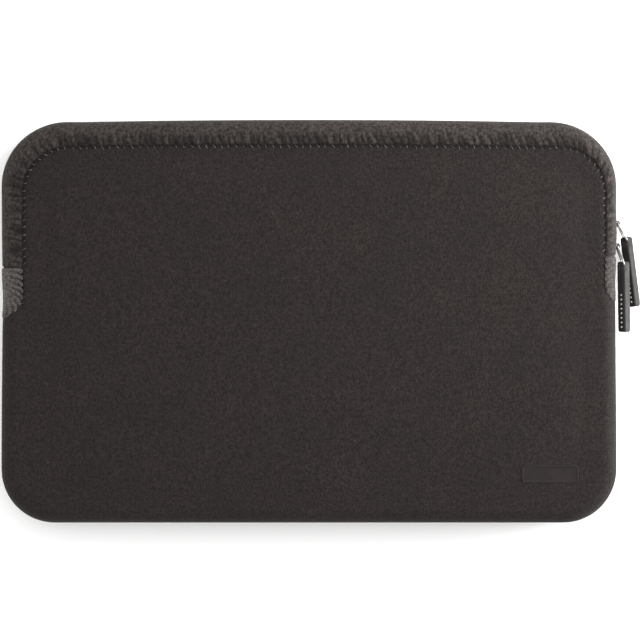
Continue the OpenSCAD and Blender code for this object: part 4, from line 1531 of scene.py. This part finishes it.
class SLEEVE_OT_pulls(bpy.types.Operator):
    """Mould the rubber pulls and print their plain dots"""

    bl_idname = "sleeve.pulls"
    bl_label = "Pulls"

    def execute(self, context):
        z = context.scene.sleeve_zip
        for number, angle in ((1, z.pull_angle_1), (2, z.pull_angle_2)):
            self.pull(number, angle, z)
            self.dots(number, angle, z)
        return {"FINISHED"}

    def frame_of(self, number, angle):
        """Crossbar, and the pull's own sideways and lengthways directions."""
        bar = np.array(JOINTS[f"pull_{number}_swing"]["pos_m"])
        sideways = np.array((math.cos(angle), math.sin(angle), 0))
        along = np.array((math.sin(angle), -math.cos(angle), 0))
        return bar, sideways, along

    def pull(self, number, angle, z):
        bar, sideways, along = self.frame_of(number, angle)
        half = z.pull_side / 2
        flat = 0.56
        plan = [(-1.75 * MM, 0.5, flat * 0.6), (-1.65 * MM, 0.75, flat * 0.85),
                (-1.35 * MM, 0.92, flat * 0.97), (-0.9 * MM, 0.98, flat), (0, 1, flat),
                (1.2 * MM, 1, flat * 1.02), (2.2 * MM, 1, 0.68), (3.2 * MM, 1, 0.88),
                (4.2 * MM, 1, 0.98), (5.2 * MM, 1, 1)]
        plan += [(u, 1, 1) for u in np.linspace(7 * MM, z.pull_l - 2 * MM, 12)]
        plan += [(z.pull_l - 1.2 * MM, 0.99, 0.99), (z.pull_l - 0.5 * MM, 0.94, 0.94),
                 (z.pull_l - 0.12 * MM, 0.83, 0.83), (z.pull_l, 0.6, 0.6)]
        section = rounded_square(half, half, 0.85 * MM)
        c, s = math.cos(z.pull_twist), math.sin(z.pull_twist)
        rings = []
        for u, wide, deep in plan:
            rings.append([bar + along * u + sideways * (c * p - s * q) * wide
                          + np.array((0, 0, (s * p + c * q) * deep)) for p, q in section])
        points, faces = loft(rings)
        piece = make_piece(f"rubber_pull_{number}", points, faces, "rubber",
                           f"pull_{number}", subdivide=1)
        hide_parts(f"pull_tab_{number}")

    def dots(self, number, angle, z):
        bar, sideways, along = self.frame_of(number, angle)
        first, last = 15.5 * MM, 2.6 * MM
        pitch = (z.pull_l - first - last) / (z.dot_count - 1)
        up = -sideways * math.sin(z.pull_twist) + np.array((0, 0, math.cos(z.pull_twist)))
        side = np.cross(up, along)
        radius, height = 0.5 * MM, 0.22 * MM
        parts = []
        for i in range(z.dot_count):
            centre = bar + along * (first + i * pitch) + up * (z.pull_side / 2 - 0.1 * MM)
            rings = []
            for turn in (0, 25, 50, 72):
                t = math.radians(turn)
                ring = [centre + up * (height * math.sin(t) + 0.1 * MM)
                        + radius * math.cos(t) * (along * math.cos(a) + side * math.sin(a))
                        for a in np.linspace(0, 2 * math.pi, 16, endpoint=False)]
                rings.append(ring)
            rings.insert(0, [p - up * 0.15 * MM for p in rings[0]])
            parts.append(loft(rings))
        points, faces = joined(parts)
        piece = make_piece(f"printed_dots_{number}", points, faces, "dot", f"pull_{number}")
        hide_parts(f"pull_dots_{number}")


# ---------- trim ----------

# how far each ring of the badge lies inside its outline and above the panel, in millimetres
BADGE_PROFILE = ((0, -0.35), (0, 0.12), (0.15, 0.3), (0.4, 0.36), (0.75, 0.28),
                 (1.0, 0.14), (1.4, 0.12), (2.6, 0.13), (3.8, 0.14))


class SLEEVE_OT_trim(bpy.types.Operator):
    """Press the blank badge into the front panel"""

    bl_idname = "sleeve.trim"
    bl_label = "Badge"

    def execute(self, context):
        face = bpy.data.objects["front_face"]
        tree = KDTree(len(face.data.vertices))
        for v in face.data.vertices:
            tree.insert((v.co.x, v.co.y, 0 if v.co.z > THICK - 2 * MM else 1), v.index)
        tree.balance()
        middle = (BADGE[0] + BADGE[1]) / 2
        half_x, half_y = (BADGE[1].x - BADGE[0].x) / 2, (BADGE[1].y - BADGE[0].y) / 2
        rings = []
        for shrink, lift in BADGE_PROFILE:
            section = rounded_square(half_x - shrink * MM, half_y - shrink * MM,
                                     max(1.6 * MM - shrink * MM, 0.3 * MM), 6)
            ring = []
            for u, v in section:
                near = tree.find_n((middle.x + u, middle.y + v, 0), 4)
                top = sum(face.data.vertices[i].co.z for _, i, _ in near) / len(near)
                ring.append((middle.x + u, middle.y + v, top + lift * MM))
            rings.append(ring)
        points, faces = loft(rings)
        piece = make_piece("blank_badge", points, faces, "badge", "case")
        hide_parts("badge")
        return {"FINISHED"}


# ---------- stage ----------

CAMERA_ASIDE = 5.68 * MM
CAMERA_UP = 0.645 * MM
CAMERA_ABOVE = 1.1007
FLOOR_HALF = 3.0
FLOOR_STEPS = 12


def soft_light(name, place, target, size, power):
    lamp = bpy.data.lights.new(name, "AREA")
    lamp.shape = "DISK"
    lamp.size, lamp.energy = size, power
    holder = bpy.data.objects.new(name, lamp)
    bpy.context.scene.collection.objects.link(holder)
    holder.location = place
    holder.visible_camera = False
    holder.rotation_mode = "QUATERNION"
    holder.rotation_quaternion = (Vector(target) - Vector(place)).to_track_quat("-Z", "Y")


class SLEEVE_OT_stage(bpy.types.Operator):
    """Lay the pale floor, hang the soft lights and set the camera"""

    bl_idname = "sleeve.stage"
    bl_label = "Stage"

    def execute(self, context):
        scene = context.scene
        scene.view_settings.view_transform = "Standard"
        scene.view_settings.look = "None"
        line = np.linspace(-FLOOR_HALF, FLOOR_HALF, FLOOR_STEPS)
        points = np.array([(x, y, 0) for y in line for x in line])
        mesh = bpy.data.meshes.new("floor")
        mesh.from_pydata([tuple(p) for p in points], [], band_quads(FLOOR_STEPS, FLOOR_STEPS))
        floor = bpy.data.objects.new("floor", mesh)
        scene.collection.objects.link(floor)
        keep_rest(floor)
        mesh.materials.append(material("floor"))
        world = scene.world or bpy.data.worlds.new("studio")
        scene.world = world
        world.use_nodes = True
        backdrop = world.node_tree.nodes["Background"]
        backdrop.inputs["Color"].default_value = (1, 1, 1, 1)
        backdrop.inputs["Strength"].default_value = 1.12
        soft_light("key", (0.31, 0.25, 0.37), (0.02, 0, 0), 0.26, 2.5)
        soft_light("overhead", (-0.1, 0.1, 1.7), (0, 0, 0), 1.2, 3)
        soft_light("right_edge", (0.62, 0.02, 0.10), (0.15, 0, 0.01), 0.22, 4.6)
        soft_light("left_edge", (-0.62, -0.05, 0.10), (-0.15, 0, 0.01), 0.22, 0.3)
        camera = bpy.data.cameras.new("camera")
        camera.sensor_width, camera.lens = 36, 120
        holder = bpy.data.objects.new("camera", camera)
        scene.collection.objects.link(holder)
        holder.location = (CAMERA_ASIDE, CAMERA_UP, MID_Z + CAMERA_ABOVE)
        camera.clip_start, camera.clip_end = 0.01, 20
        scene.camera = holder
        return {"FINISHED"}


# ---------- panel and registration ----------

STEPS = ("panels", "band", "stitching", "end_tabs", "lining", "zip", "sliders", "pulls", "trim", "stage")


class SLEEVE_PT_sidebar(bpy.types.Panel):
    """Lists the sleeve's pieces"""

    bl_label = "Laptop Sleeve"
    bl_idname = "SLEEVE_PT_sidebar"
    bl_space_type = "VIEW_3D"
    bl_region_type = "UI"
    bl_category = "Sleeve"

    def draw(self, context):
        for step in STEPS:
            self.layout.operator("sleeve." + step)
        for group in (context.scene.sleeve_sizes, context.scene.sleeve_zip, context.scene.sleeve_colours):
            for key in group.__annotations__:
                self.layout.prop(group, key)


CLASSES = (
    SleeveSizes, SleeveZip, SleeveColours,
    SLEEVE_OT_panels, SLEEVE_OT_band, SLEEVE_OT_stitching, SLEEVE_OT_end_tabs, SLEEVE_OT_lining,
    SLEEVE_OT_zip, SLEEVE_OT_sliders, SLEEVE_OT_pulls, SLEEVE_OT_trim, SLEEVE_OT_stage,
    SLEEVE_PT_sidebar,
)


def register():
    for kind in CLASSES:
        bpy.utils.register_class(kind)
    bpy.types.Scene.sleeve_sizes = PointerProperty(type=SleeveSizes)
    bpy.types.Scene.sleeve_zip = PointerProperty(type=SleeveZip)
    bpy.types.Scene.sleeve_colours = PointerProperty(type=SleeveColours)


def unregister():
    del bpy.types.Scene.sleeve_sizes, bpy.types.Scene.sleeve_zip, bpy.types.Scene.sleeve_colours
    for kind in reversed(CLASSES):
        bpy.utils.unregister_class(kind)


def main():
    register()
    for step in STEPS:
        getattr(bpy.ops.sleeve, step)()


if __name__ == "__main__":
    main()
